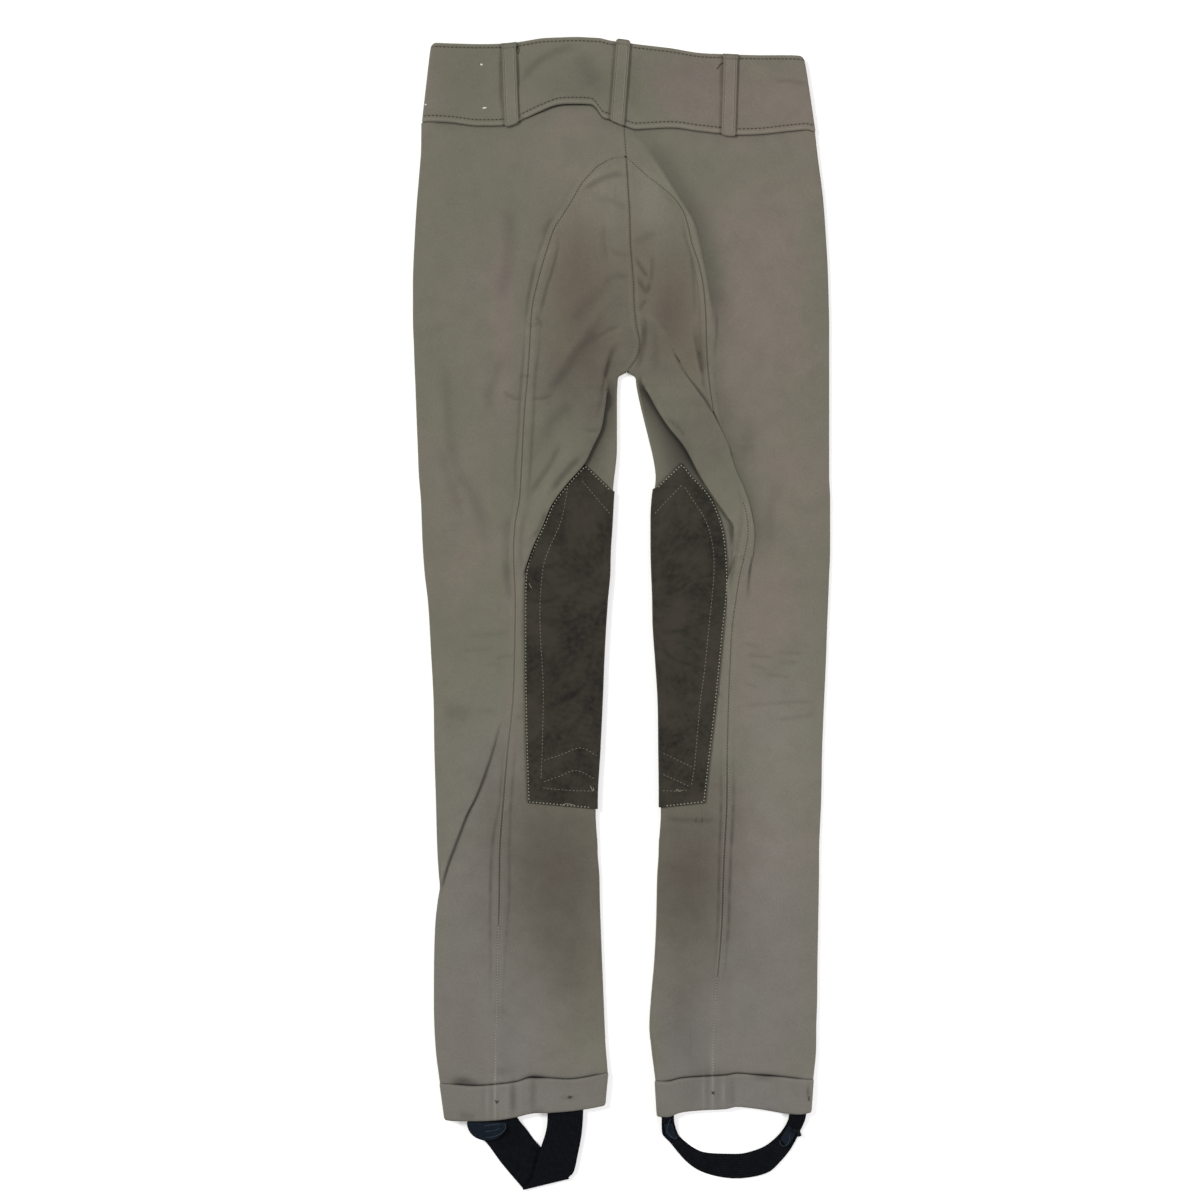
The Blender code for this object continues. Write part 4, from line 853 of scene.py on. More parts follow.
# Each crease: half width, or those of its left and its right side on the way along it, height (a trough's is
# below zero) and its course, x to the wearer's right and down.
CREASES = (
    # the seat
    (2.5, 0.7, (-34, 127), (-28, 122), (-17, 115), (-4, 110), (2, 109)),
    (2.2, -0.8, (-32, 128), (-24, 124), (-15, 119), (-5, 116), (5, 116)),
    (10, 0.8, (-19, 130), (-4, 131)),
    (3, -0.5, (-21, 136), (-10, 137), (4, 144)),
    (2.2, -0.5, (-14, 157), (-15, 172), (-12, 187)),
    (4, 0.35, (-4, 169), (-2, 178)),
    (2, -0.45, (-9, 179), (-1, 182), (8, 183)),
    (4, 0.4, (2, 190), (2, 196)),
    (2.4, -0.5, (-15, 206), (-5, 201), (7, 201)),
    (3, -0.5, (10, 173), (20, 168), (31, 164)),
    (1.5, -0.9, (12, 186), (17, 194), (22, 202)),
    (2, -1.0, (14, 203), (17, 208), (21, 213), (24, 206)),
    (1.6, -0.6, (25, 206), (26, 194), (26, 183)),
    (2.5, 0.5, (18, 186), (23, 194), (22, 206)),
    (1.6, -0.7, (15, 229), (18, 224), (21, 220)),
    ((2, 6), 1.3, (16, 236), (21, 234), (29, 238), (36, 248), (40, 255)),
    (2.2, -1.2, (19, 239), (19, 252), (17, 263), (14, 276)),
    (2.5, -0.4, (27, 249), (29, 267), (27, 280)),
    (4.2, -0.9, (-17, 238), (-26, 252), (-36, 264), (-45, 278), (-55, 290), (-63, 301)),
    (5, -0.4, (-12, 208), (-24, 220), (-33, 229), (-43, 241)),
    (4, 0.8, (-4, 214), (-17, 227), (-28, 241), (-37, 255), (-47, 267), (-56, 278)),
    (1.8, -0.6, (-2, 242), (-11, 246), (-18, 250), (-24, 256)),
    (2.2, 0.5, (2, 247), (-7, 248), (-15, 253)),
    (2.2, -0.8, (-4, 257), (-8, 265), (-11, 277), (-15, 290)),
    (5, 0.8, (2, 259), (2, 274)),
    (1.3, -0.8, (-53, 169), (-54, 180), (-58, 196), (-62, 208), (-65, 220), (-67, 228), (-70, 235)),
    (1.3, -0.7, (-72, 234), (-68, 239), (-67, 244)),
    (1.2, -0.6, (-68, 245), (-69, 262), (-72, 283), (-73, 304), (-75, 340), (-77, 368), (-79, 390)),
    (2.5, -0.5, (-58, 150), (-66, 166)),
    (1.6, -0.6, (-72, 193), (-76, 210), (-79, 227), (-80, 239)),
    (1.2, -0.5, (-81, 246), (-82, 267), (-84, 287), (-85, 304), (-87, 340), (-89, 357), (-88, 388)),
    (1.2, -0.5, (-80, 241), (-74, 242), (-68, 240)),
    ((5, 1.3), -0.9, (61, 247), (63, 259), (67, 270), (69, 282)),
    (1.4, -0.5, (51, 148), (53, 166), (58, 183), (60, 200), (61, 220), (61, 234)),
    (3, 0.5, (55, 154), (60, 178), (65, 200), (67, 220), (66, 239)),
    (2, -0.4, (30, 124), (38, 134), (45, 142)),
    (7, -0.7, (-98, 136), (-94, 157), (-94, 183), (-98, 208), (-102, 227)),
    (10, 0.5, (-81, 152), (-84, 192)),
    (10, -0.25, (30, 218), (48, 240)),
    ((12, 2.2), -1.15, (12, 80), (24, 95), (35, 110), (50, 135), (62, 154), (69, 182), (74, 207),
     (78, 230), (81, 252)),
    (1.2, -0.6, (80, 231), (80, 245), (79, 257), (78, 266)),
    (2.5, 0.7, (24, 100), (34, 116), (45, 132), (57, 150), (63, 166), (66, 183), (71, 208)),
    # the left thigh
    (5, -0.5, (-157, 266), (-148, 283), (-145, 311), (-143, 346), (-136, 367), (-122, 390), (-115, 413),
     (-112, 430)),
    (4, -0.35, (-154, 340), (-148, 360), (-140, 382), (-133, 406)),
    (6, 0.4, (-152, 298), (-148, 340), (-136, 381)),
    (4, -0.5, (-102, 267), (-106, 288), (-111, 299), (-110, 315)),
    (3, -0.45, (-90, 395), (-96, 409), (-97, 430), (-95, 463)),
    (2, -0.4, (-80, 395), (-84, 416), (-84, 444)),
    (1.3, -0.6, (-99, 297), (-92, 302), (-84, 303)),
    (1.3, -0.6, (-75, 303), (-67, 303), (-58, 300)),
    (1.2, -0.5, (-85, 285), (-81, 284), (-75, 285)),
    (2.4, 0.6, (-81, 290), (-81, 298)),
    (2.4, 0.5, (-82, 360), (-83, 382)),
    (6, -0.7, (-40, 304), (-57, 322), (-65, 340)),
    (2.2, -0.8, (-51, 340), (-60, 358), (-71, 374), (-78, 386)),
    (5, 0.7, (-42, 340), (-59, 368), (-70, 388), (-75, 409)),
    (1.4, -0.9, (-9, 264), (-15, 290), (-18, 308), (-21, 319)),
    (1.6, -0.6, (-30, 330), (-19, 330)),
    (2.6, -1.2, (-34, 351), (-47, 365), (-59, 381)),
    (2, -0.9, (-63, 398), (-69, 413), (-75, 420)),
    # the right thigh
    (1.5, -1.0, (64, 262), (65, 270), (68, 283)),
    (1.6, -0.7, (68, 283), (69, 297), (75, 313)),
    (2, 0.6, (62, 264), (65, 280), (68, 298)),
    (1.3, -0.7, (37, 319), (47, 327), (53, 335)),
    (2.4, 0.4, (40, 327), (48, 336)),
    (1.5, -0.4, (96, 372), (100, 388), (100, 409), (95, 437), (92, 460)),
    (2, 0.4, (102, 393), (103, 407), (98, 435)),
    (5, -0.4, (132, 371), (125, 399), (126, 430)),
    (6, -0.4, (81, 270), (82, 301), (94, 329)),
    (1.4, -0.7, (93, 412), (92, 430), (91, 463)),
    (1.2, -0.6, (108, 442), (107, 454), (106, 472)),
    # the left knee
    (3, -0.5, (-99, 438), (-96, 455), (-93, 474)),
    (2.5, -0.3, (-127, 502), (-110, 501), (-95, 499)),
    (2, -0.25, (-133, 514), (-117, 514), (-108, 512)),
    (1.6, -0.45, (-106, 521), (-95, 519), (-89, 519)),
    (2, -0.2, (-113, 526), (-101, 526)),
    (3, -0.3, (-155, 542), (-145, 542)),
    (2, -0.25, (-120, 565), (-105, 565)),
    ((9, 6), -0.6, (-152, 567), (-137, 568), (-127, 572)),
    (6, 0.35, (-152, 554), (-141, 549)),
    (2, -0.3, (-89, 571), (-82, 570)),
    # the right knee
    (1.2, -0.45, (103, 507.7), (115.7, 512)),
    (1.3, -0.5, (104.5, 518), (128, 520)),
    (1.3, -0.4, (128, 515), (153, 517)),
    (1.2, -0.4, (132, 524.4), (148, 524.4)),
    (1.2, -0.45, (107, 526), (122.6, 530)),
    (1.3, -0.45, (120, 534), (142, 537)),
    (1.2, -0.4, (103, 541), (113, 545)),
    (1.6, -0.4, (100, 560.6), (135, 558), (170, 557)),
    (1.6, -0.4, (127, 572.5), (149, 570), (168.6, 567)),
    (1.4, -0.4, (79.5, 548), (85, 554)),
    (2.0, -0.6, (32, 652), (43, 655.6), (82, 657)),
    (3.0, 0.4, (34, 658), (50, 662), (80, 663)),
)
# The same on the side that lies down, where the floor keeps it flatter.
FRONT_CREASES = (
    (6.0, 0.35, (-20, 236), (-58, 262), (-96, 270)),
    (5.0, 0.3, (24, 240), (66, 268), (98, 274)),
    (4.0, 0.3, (-60, 300), (-88, 330)),
    (4.5, 0.3, (70, 310), (104, 352)),
    (3.0, 0.25, (-100, 500), (-140, 512)),
    (3.0, 0.25, (-104, 528), (-150, 520)),
    (3.0, 0.25, (106, 505), (150, 517)),
    (2.6, 0.25, (110, 540), (160, 530)),
    (3.5, 0.2, (-90, 700), (-128, 716)),
    (3.5, 0.2, (96, 690), (140, 706)),
)

CREASE_DEPTH = 1.1  # what a crease's height of 1 comes to
SHADE_OF_DEPTH = 0.25  # share of the light that a wide trough of one millimetre loses
LIGHT_OF_HEIGHT = 0.08  # and that a ridge gains
LIP_SHADE = 0.3  # on the wall at a piece's edges


def course(points, pieces=6):
    """A smooth path through a crease's points."""
    points = np.array(points, float)
    if len(points) < 3:
        return points
    ends = np.concatenate([[2 * points[0] - points[1]], points, [2 * points[-1] - points[-2]]])
    path = []
    for a, b, c, d in zip(ends, ends[1:], ends[2:], ends[3:]):
        t = np.linspace(0, 1, pieces, endpoint=False)[:, None]
        path.append(
            0.5 * (2 * b + (c - a) * t + (2 * a - 5 * b + 4 * c - d) * t**2 + (3 * b - a - 3 * c + d) * t**3)
        )
    return np.concatenate([*path, points[-1:]])


def nearest(path, x, down):
    """Distance of places from a path, above zero on its right, and how far along it they are, from 0 to 1."""
    lengths = np.linalg.norm(np.diff(path, axis=0), axis=1)
    begins = np.concatenate([[0], np.cumsum(lengths)])
    best = np.full(x.shape, np.inf)
    along = np.zeros(x.shape)
    for start, end, length, begin in zip(path, path[1:], lengths, begins):
        run = end - start
        t = np.clip(((x - start[0]) * run[0] + (down - start[1]) * run[1]) / length**2, 0, 1)
        away = np.hypot(x - start[0] - t * run[0], down - start[1] - t * run[1])
        closer = away < np.abs(best)
        right = run[0] * (down - start[1]) > run[1] * (x - start[0])
        best = np.where(closer, np.where(right, away, -away), best)
        along = np.where(closer, (begin + t * length) / begins[-1], along)
    return best, along


def creases(rows, x, down):
    """Height that a list of creases adds at places, and the light that they take."""
    total, shade = np.zeros(x.shape), np.zeros(x.shape)
    for half_width, height, *points in rows:
        path = course(points)
        left, right = np.broadcast_to(half_width, 2)
        reach = 3 * max(left, right)
        low, high = path.min(axis=0) - reach, path.max(axis=0) + reach
        near = (x > low[0]) & (x < high[0]) & (down > low[1]) & (down < high[1])
        if near.any():
            away, along = nearest(path, x[near], down[near])
            ends = window(along, 0, 0.2, 0.8, 1)
            width = np.where(away > 0, right, left)
            here = (0.25 + 0.75 * ends) * bell(away, width)
            total[near] += CREASE_DEPTH * height * here
            if height < 0:
                shade[near] += here * (-height * SHADE_OF_DEPTH * (1 + 0.5 / width))
            else:
                shade[near] += here * (-height * LIGHT_OF_HEIGHT)
    return total, shade


WAVE_SIZES = ((70, 0.1), (52, 0.08), (41, 0.07), (33, 0.06), (24, 0.05), (19, 0.04), (14, 0.03), (11, 0.025))
WAVES = [
    (length, amount, *GENTLE.uniform(0, 2 * math.pi, 2))
    for length, amount in WAVE_SIZES
    for _ in range(3)
]


def unevenness(x, down):
    """Gentle waves that cloth has everywhere."""
    total = 0.0
    for length, amount, heading, phase in WAVES:
        turn = 2 * math.pi / length
        total = total + amount * np.sin(turn * (x * math.cos(heading) + down * math.sin(heading)) + phase)
    return total


# How a seam looks by level. middle: how dark the seam itself is. out, inner: how much painted shade lies along
# the edges of the allowances inside, on its outer and inner side, and out_at, inner_at how far from it they
# lie. ridge: how high the cloth stands between them, which also paints a little highlight on it.
SEAM_LOOKS = {
    "left": table(
        "down middle out_at out inner_at inner ridge",
        (104, 0.08, 5.5, 0.00, 5.0, 0.00, 0.3),
        (150, 0.08, 5.5, 0.12, 5.0, 0.00, 0.4),
        (185, 0.08, 6.0, 0.25, 6.5, 0.00, 0.8),
        (240, 0.08, 4.3, 0.10, 7.5, 0.00, 0.8),
        (300, 0.08, 4.3, 0.10, 8.5, 0.00, 0.7),
        (390, 0.10, 4.6, 0.10, 8.4, 0.05, 0.4),
        (440, 0.05, 5.0, 0.10, 6.0, 0.00, 0.3),
        (480, 0.05, 4.0, 0.00, 5.0, 0.00, 0.25),
        (585, 0.06, 3.2, 0.00, 6.5, 0.00, 0.3),
        (610, 0.25, 3.2, 0.20, 6.5, 0.20, 0.3),
        (640, 0.40, 3.0, 0.35, 6.5, 0.35, 0.3),
        (670, 0.45, 6.0, 0.35, 7.5, 0.30, 0.4),
        (720, 0.40, 7.5, 0.40, 8.4, 0.30, 0.4),
        (750, 0.12, 7.0, 0.25, 7.0, 0.20, 0.3),
        (808, 0.05, 5.0, 0.08, 5.0, 0.08, 0.2),
        (820, -0.06, 5.0, 0.00, 5.0, 0.00, 0.2),
        (876, -0.12, 5.0, 0.00, 5.0, 0.00, 0.2),
    ),
    "right": table(
        "down middle out_at out inner_at inner ridge",
        (104, 0.05, 5.0, 0.00, 5.0, 0.00, 0.1),
        (150, 0.05, 5.0, 0.00, 5.0, 0.00, 0.5),
        (200, 0.08, 6.0, 0.00, 4.5, 0.12, 0.7),
        (250, 0.14, 6.0, 0.00, 5.0, 0.15, 0.6),
        (300, 0.20, 5.0, 0.10, 4.0, 0.10, 0.3),
        (390, 0.08, 5.0, 0.00, 5.0, 0.00, 0.3),
        (480, 0.08, 5.0, 0.00, 5.0, 0.00, 0.3),
        (600, 0.12, 5.0, 0.05, 5.0, 0.05, 0.3),
        (628, 0.40, 5.5, 0.30, 5.0, 0.30, 0.3),
        (669, 0.45, 5.5, 0.50, 4.3, 0.50, 0.3),
        (735, 0.40, 5.5, 0.50, 3.4, 0.45, 0.3),
        (770, 0.18, 5.5, 0.20, 3.4, 0.20, 0.2),
        (805, 0.05, 5.0, 0.00, 4.0, 0.00, 0.2),
        (820, -0.04, 5.0, 0.00, 4.0, 0.00, 0.2),
        (876, -0.12, 5.0, 0.00, 5.0, 0.00, 0.2),
    ),
    "back": table(
        "down middle out_at out inner_at inner ridge",
        (77, 0.20, 4.5, 0.00, 4.5, 0.00, 0.1),
        (110, 0.45, 4.5, 0.00, 4.5, 0.00, 0.2),
        (186, 0.30, 4.5, 0.00, 4.5, 0.00, 0.3),
        (198, 0.15, 4.5, 0.00, 4.5, 0.00, 0.9),
        (281, 0.15, 4.5, 0.00, 4.5, 0.00, 0.7),
    ),
}


def seam_form(name, out, downs):
    """Height and shade that a seam gives the cloth at distances outwards from it, in rows at levels."""
    look = {column: read(SEAM_LOOKS[name], column, downs)[:, None] for column in SEAM_LOOKS[name]}
    down = downs[:, None]
    uneven = 0.85 + 0.3 * np.sin(down / 3.1 + 2.0 * np.sin(down / 17.0)) * np.sin(down / 11.3 + 1.0)
    middle = bell(out, 0.8)
    edges = look["out"] * bell(out - look["out_at"], 1.3)
    edges = uneven * (edges + look["inner"] * bell(out + look["inner_at"], 1.3))
    ridge = uneven * look["ridge"] * bell(np.abs(out) - 2.8, 1.5)
    return 0.5 * ridge - 0.15 * middle - 1.1 * edges, look["middle"] * middle + 0.8 * edges - 0.16 * ridge


# Places where the cloth's colour changes: x to the wearer's right, down, half sizes and how strongly. At the
# crotch and beside the flaps' and the roll's rims, the brown places are painted shade as well as brown cloth.
BROWN_AND_SHADE = table(
    "x down wide long strong",
    (-53, 698, 46, 76, 0.95),
    (-42, 778, 30, 50, 0.5),
    (-100, 665, 26, 60, 0.3),
    (56, 704, 38, 76, 0.95),
    (88, 640, 24, 40, 0.25),
    (-28, 232, 38, 62, 0.55),
    (-30, 285, 38, 34, 0.5),
    (-70, 330, 26, 44, 0.2),
    (42, 220, 24, 46, 0.45),
    (28, 262, 28, 30, 0.35),
    (74, 335, 22, 44, 0.4),
    (44, 355, 16, 40, 0.5),
    (-24, 345, 16, 40, 0.4),
    (104, 340, 7, 16, 0.4),
    (8, 150, 16, 40, 0.15),
)
ROSY = table(
    "x down wide long strong",
    (-99, 215, 10, 90, 0.8),
    (-90, 560, 14, 110, 0.5),
    (-60, 120, 30, 26, 0.5),
    (-30, 70, 40, 20, 0.6),
    (-160, 60, 14, 40, 0.5),
    (120, 200, 46, 120, 0.8),
    (130, 420, 40, 140, 0.6),
    (70, 44, 44, 34, 0.95),
    (130, 46, 44, 34, 0.95),
    (-130, 400, 24, 90, 0.4),
    (-120, 700, 26, 60, 0.4),
    (120, 700, 36, 90, 0.6),
    (110, 830, 50, 60, 0.6),
    (-100, 840, 50, 60, 0.6),
)
PALE = table(
    "x down wide long strong",
    (-88, 890, 90, 24, 0.8),
    (92, 890, 90, 24, 0.8),
    (-100, 820, 60, 70, 0.55),
    (104, 820, 70, 70, 0.55),
    (-150, 820, 14, 70, 0.3),
    (-125, 720, 50, 90, 0.5),
    (120, 720, 50, 100, 0.45),
    (130, 560, 40, 60, 0.25),
    (-120, 600, 36, 50, 0.3),
    (-92, 845, 16, 34, 0.8),
    (54, 850, 24, 34, 0.8),
)
TAN = table(
    "x down wide long strong",
    (-36, 205, 26, 56, 0.9),
    (-24, 262, 22, 26, 0.4),
    (12, 190, 14, 40, 0.5),
    (44, 225, 20, 44, 0.9),
    (60, 262, 12, 30, 0.5),
    (-30, 270, 30, 30, 0.3),
)
# The same for light and shade: above zero where it is darker.
TONES = (
    (-12, 140, 26, 30, -0.16),
    (24, 138, 16, 26, -0.19),
    (-40, 40, 34, 16, 0.13),
    (-130, 32, 36, 30, 0.08),
    (55, 38, 50, 30, 0.10),
    (132, 615, 34, 80, -0.12),
    (50, 815, 22, 34, 0.14),
    (-60, 815, 26, 30, -0.06),
    (46.6, 346, 12, 22, 0.10),
    (-52, 510, 34, 110, 0.07),
    # wear streaks and dirt at the left hem, and painted shadow under the bulges along the cuff's top edge
    (-106.0, 888, 0.9, 26, -0.34),
    (-112.5, 892, 1.2, 14, -0.12),
    (-109.0, 890, 1.0, 16, 0.10),
    (-101.0, 894, 1.5, 14, -0.10),
    (-96.5, 890, 2.2, 18, -0.10),
    (-91.0, 890, 2.4, 15, 0.14),
    (-86.0, 890, 2.4, 15, -0.07),
    (-74.5, 888, 3.0, 15, 0.10),
    (-116.0, 890, 2.0, 16, 0.08),
    (-133.5, 874.5, 8.0, 3.2, 0.5),
    (-124.0, 876.5, 6.0, 2.4, 0.25),
    (-72.0, 871.0, 8.0, 2.4, 0.45),
    (-100.0, 866.0, 8.0, 4.0, 0.16),
    (-101.0, 816.0, 7.0, 6.0, 0.14),
    (-103.0, 845.0, 8.0, 26.0, 0.06),
    # and at the right one
    (76.2, 872, 0.9, 30, -0.30),
    (68.5, 884, 1.2, 14, -0.16),
    (72.0, 884, 1.4, 16, 0.12),
    (80.5, 884, 2.4, 14, 0.12),
    (85.4, 884, 1.2, 12, -0.18),
    (60.0, 884, 10.0, 15, 0.10),
    (89.0, 884, 3.0, 14, 0.12),
    (120.0, 870.5, 10.0, 3.0, 0.4),
    (54.0, 848.0, 20.0, 28.0, 0.11),
    (107.0, 820.0, 8.0, 14.0, 0.05),
    (-131.0, 835.0, 12.0, 20.0, 0.06),
    (-92.0, 845.0, 12.0, 28.0, 0.05),
    (76.0, 868.0, 16.0, 5.0, 0.16),
    (156.0, 884.0, 1.0, 5.0, 0.4),
)


def spread(rows, x, down):
    """How strongly a table of soft places shows at each point."""
    clear = np.ones(len(x))
    for at_x, at_down, wide, long, strong in zip(*rows.values()):
        clear *= 1 - strong * np.exp(-((x - at_x) / wide) ** 2 - ((down - at_down) / long) ** 2)
    return 1 - clear


def marks_on(points):
    """Values that the materials read at each point, for the back of the garment."""
    x, down = points[:, 0], LENGTH / 2 - points[:, 1]
    back = smooth(points[:, 2], 1.5, 3.0)
    tables = {"brown_and_shade": BROWN_AND_SHADE, "rosy": ROSY, "tan": TAN}
    marks = {name: back * spread(rows, x, down) for name, rows in tables.items()}
    return {"pale": spread(PALE, x, down), **marks}


# ---- Panels ------------------------------------------------------------------------------------------------

NEAR_EDGE = np.array([0.0, 0.5, 1.0, 1.6, 2.4])  # of the rows closest to the waistband or a cuff, from it
ROLL_SHADE = 0.35  # beside the roll
# How much a flap shades what lies beside its rim, by level.
FLAP_SHADE = {
    "left": table("down dark", (300, 0.6), (385, 0.6), (410, 0.3), (440, 0.1)),
    "right": table("down dark", (300, 0.8), (352, 0.8), (385, 0.45), (425, 0.25)),
}
FLAP_SHADE_REACH = {"left": 8.0, "right": 13.0}


def grid_of(leg, downs, rows):
    """Points, in millimetres, of rows given as across and height."""
    across, height = (np.array([row[k] for row in rows]) for k in (0, 1))
    x = SIDES[leg] * across
    return across, np.stack([x, LENGTH / 2 - waved(leg, x, height, downs[:, None]), height], -1)


def lines(leg, column, downs):
    """Across positions of a fold or seam, one for each row."""
    return np.array([float(line(leg, column, down)) for down in downs])[:, None]


def slope_factor(leg, column, downs):
    """Cosine of a seam's slant, by which a distance across it becomes one at right angles to it."""
    slant = np.gradient(lines(leg, column, downs)[:, 0], downs)
    return 1 / np.sqrt(1 + np.minimum(np.abs(slant), STEEPEST) ** 2)


def levels_from(start, end):
    return np.linspace(start, end, round((end - start) / ROW_PITCH) + 1)


def edge_shade(downs):
    """Shade just below the waistband and above the cuffs, in rows."""
    below, above = downs - WAIST_LINE, CUFF_LINE - downs
    shade = 0.45 * bell(below, 1.0) + 0.06 * bell(below, 6)
    return (shade + 0.7 * bell(above, 1.2) + 0.06 * bell(above, 5))[:, None]


def outer_panel(leg, material):
    between = levels_from(WAIST_LINE + FIRST_ROW, CUFF_LINE - FIRST_ROW)
    downs = np.concatenate([WAIST_LINE + NEAR_EDGE, between, CUFF_LINE - NEAR_EDGE[::-1]])
    rows = [outer_row(leg, down) for down in downs]
    across, points = grid_of(leg, downs, rows)
    weight = np.array([row[2] for row in rows])
    normals = normals_of(points, SIDES[leg])
    x, down = points[..., 0], LENGTH / 2 - points[..., 1]
    seam = lines(leg, "seam", downs)
    away = (across - seam) * slope_factor(leg, "seam", downs)[:, None]
    raised, shade = creases(CREASES, x, down)
    seam_height, seam_shade = seam_form(leg, away, downs)
    detail = weight * (raised + unevenness(x, down) + seam_height)
    under = (points[..., 2] < CLOTH) & (normals[..., 2] < -0.9)
    detail = detail - under * creases(FRONT_CREASES, x, down)[0]
    shade = weight * (shade + seam_shade + edge_shade(downs))
    if leg == "left":
        # painted shade along the rim of the crease on the left leg
        fold = bell(across - read(CREASE, "edge", downs)[:, None] + 0.6, 1.1)
        shade = shade + 0.4 * fold * window(downs, 585, 640, 706, 716)[:, None]
    if leg == "right":
        rolled = ROLL_SHADE * beside(ROLL, across, downs[:, None], 1, 7.0)
        shade = shade + rolled * smooth(downs, 290, 390)[:, None]
        # painted shade along the line where the roll runs out
        rim = bell(across - read(RUN_OUT, "edge", downs)[:, None], 0.9)
        shade = shade + 0.5 * rim * window(downs, 433, 436, 440, 462)[:, None]
    shell = skin(points, normals, CLOTH, detail, shade, SIDES[leg])
    thing = shell.make(f"outer_panel_{leg}_cloth", material, [f"outer_panel_{leg}"], "cloth")
    return shell


def beside(rows, across, down, side, reach):
    """How near a place is to a fold's rim on the side where the fold shades it: 1 at the rim."""
    past = side * (across - read(rows, "edge", down))
    first, last = rows["down"][0], rows["down"][-1]
    inside = window(down, first - 8, first + 8, last - 25, last + 8)
    return inside * np.where(past > -0.5, np.exp(-np.maximum(past, 0) / reach), 0)


def patch_end(leg, name, share):
    """Level of a patch's top or bottom: share is 0 at its outer edge, 1 to 2 round the fold, 3 in front."""
    outer, fold, front = PATCH_ENDS[leg][name]
    return np.interp(share, [0, 1, 1.5, 3], [outer, outer + 0.93 * (fold - outer), fold, front])


def patch_sink(leg, across, down):
    """How far the cloth under a knee patch is pressed down."""
    centre = inner_fold(leg, down)[0]
    edge = read(PATCHES[leg], "edge", down)
    first, last = (PATCH_ENDS[leg][name][0] for name in ("top", "bottom"))
    for _ in range(4):
        share = np.clip((edge - across) / (edge - centre), 0, 3)
        top, bottom = patch_end(leg, "top", share), patch_end(leg, "bottom", share)
        level = np.clip((down - top) / (bottom - top), 0, 1)
        edge = read(PATCHES[leg], "edge", first + (last - first) * level)
    sink = PATCH_SINK * smooth(edge - across, 0.5, 2.0)
    return sink * smooth(down - top, 0.5, 2.0) * smooth(bottom - down, 0.5, 2.0)


def seat_panel(leg, material):
    above = levels_from(SEAT_TOP, CROTCH - 1.0)
    below = np.concatenate([levels_from(CROTCH, CUFF_LINE - FIRST_ROW), CUFF_LINE - NEAR_EDGE[::-1]])
    downs = np.concatenate([above, below])
    rows = [seat_row(leg, down) for down in downs]
    across, points = grid_of(leg, downs, rows)
    weight = np.array([row[2] for row in rows])
    _, front = grid_of(leg, below, [seat_front_row(leg, down) for down in below])
    split = len(above)
    whole = np.concatenate([points[split:], front[:, 1:]], axis=1)
    last = points.shape[1]
    normals = normals_of(points, SIDES[leg])
    whole_normals = normals_of(whole, SIDES[leg])
    normals[split:] = whole_normals[:, :last]
    front_normals = whole_normals[:, last:]
    x, down = points[..., 0], LENGTH / 2 - points[..., 1]
    seam = lines(leg, "seam", downs)
    away = (seam - across) * slope_factor(leg, "seam", downs)[:, None]
    middle = lines(leg, "inner", downs)
    from_back = np.where(downs[:, None] < CROTCH, across - middle, 99.0)
    raised, shade = creases(CREASES, x, down)
    seam_shows = 1 - (leg == "right") * window(downs, 306, 316, 386, 392)[:, None]
    seam_height, seam_shade = seam_form(leg, -away, downs)
    back_height, back_shade = seam_form("back", from_back, downs)
    detail = raised + unevenness(x, down) + seam_shows * seam_height + back_height
    detail = weight * detail - patch_sink(leg, across, downs[:, None])
    lower = points[..., 2] < base_height(leg, across, downs[:, None]) + 0.4
    shade = weight * (shade + seam_shows * seam_shade + back_shade + edge_shade(downs))
    dark = read(FLAP_SHADE[leg], "dark", downs[:, None])
    shade = shade + lower * dark * beside(FLAPS[leg], across, downs[:, None], -1, FLAP_SHADE_REACH[leg])
    face = outer_face(points, normals, CLOTH, detail)
    pressed = -0.3 * (front[:, 1:, 2] > 1.9) * (downs[split:, None] > 400)
    front_face = outer_face(front[:, 1:], front_normals, CLOTH, pressed)
    shell = Shell()
    numbers = shell.add(face, shade)
    more = np.concatenate([numbers[split:, -1:], shell.add(front_face)], axis=1)
    shell.quads(numbers, SIDES[leg])
    shell.quads(more, SIDES[leg])

    def border(grid, extra):
        """Round the whole piece, which is wider below the crotch."""
        return np.concatenate([
            grid[0, :-1], grid[:split, -1], extra[0, :-1], extra[:-1, -1],
            extra[-1, :0:-1], grid[-1, :0:-1], grid[:0:-1, 0],
        ])

    extra_face = np.concatenate([face[split:, -1:], front_face], axis=1)
    extra_normals = np.concatenate([normals[split:, -1:], front_normals], axis=1)
    edge = border(face, extra_face), border(normals, extra_normals)
    shell.lip(border(numbers, more), *edge, CLOTH, SIDES[leg])
    thing = shell.make(f"seat_panel_{leg}_cloth", material, [f"seat_panel_{leg}"], "cloth")
    return shell


# ---- Knee patches ------------------------------------------------------------------------------------------

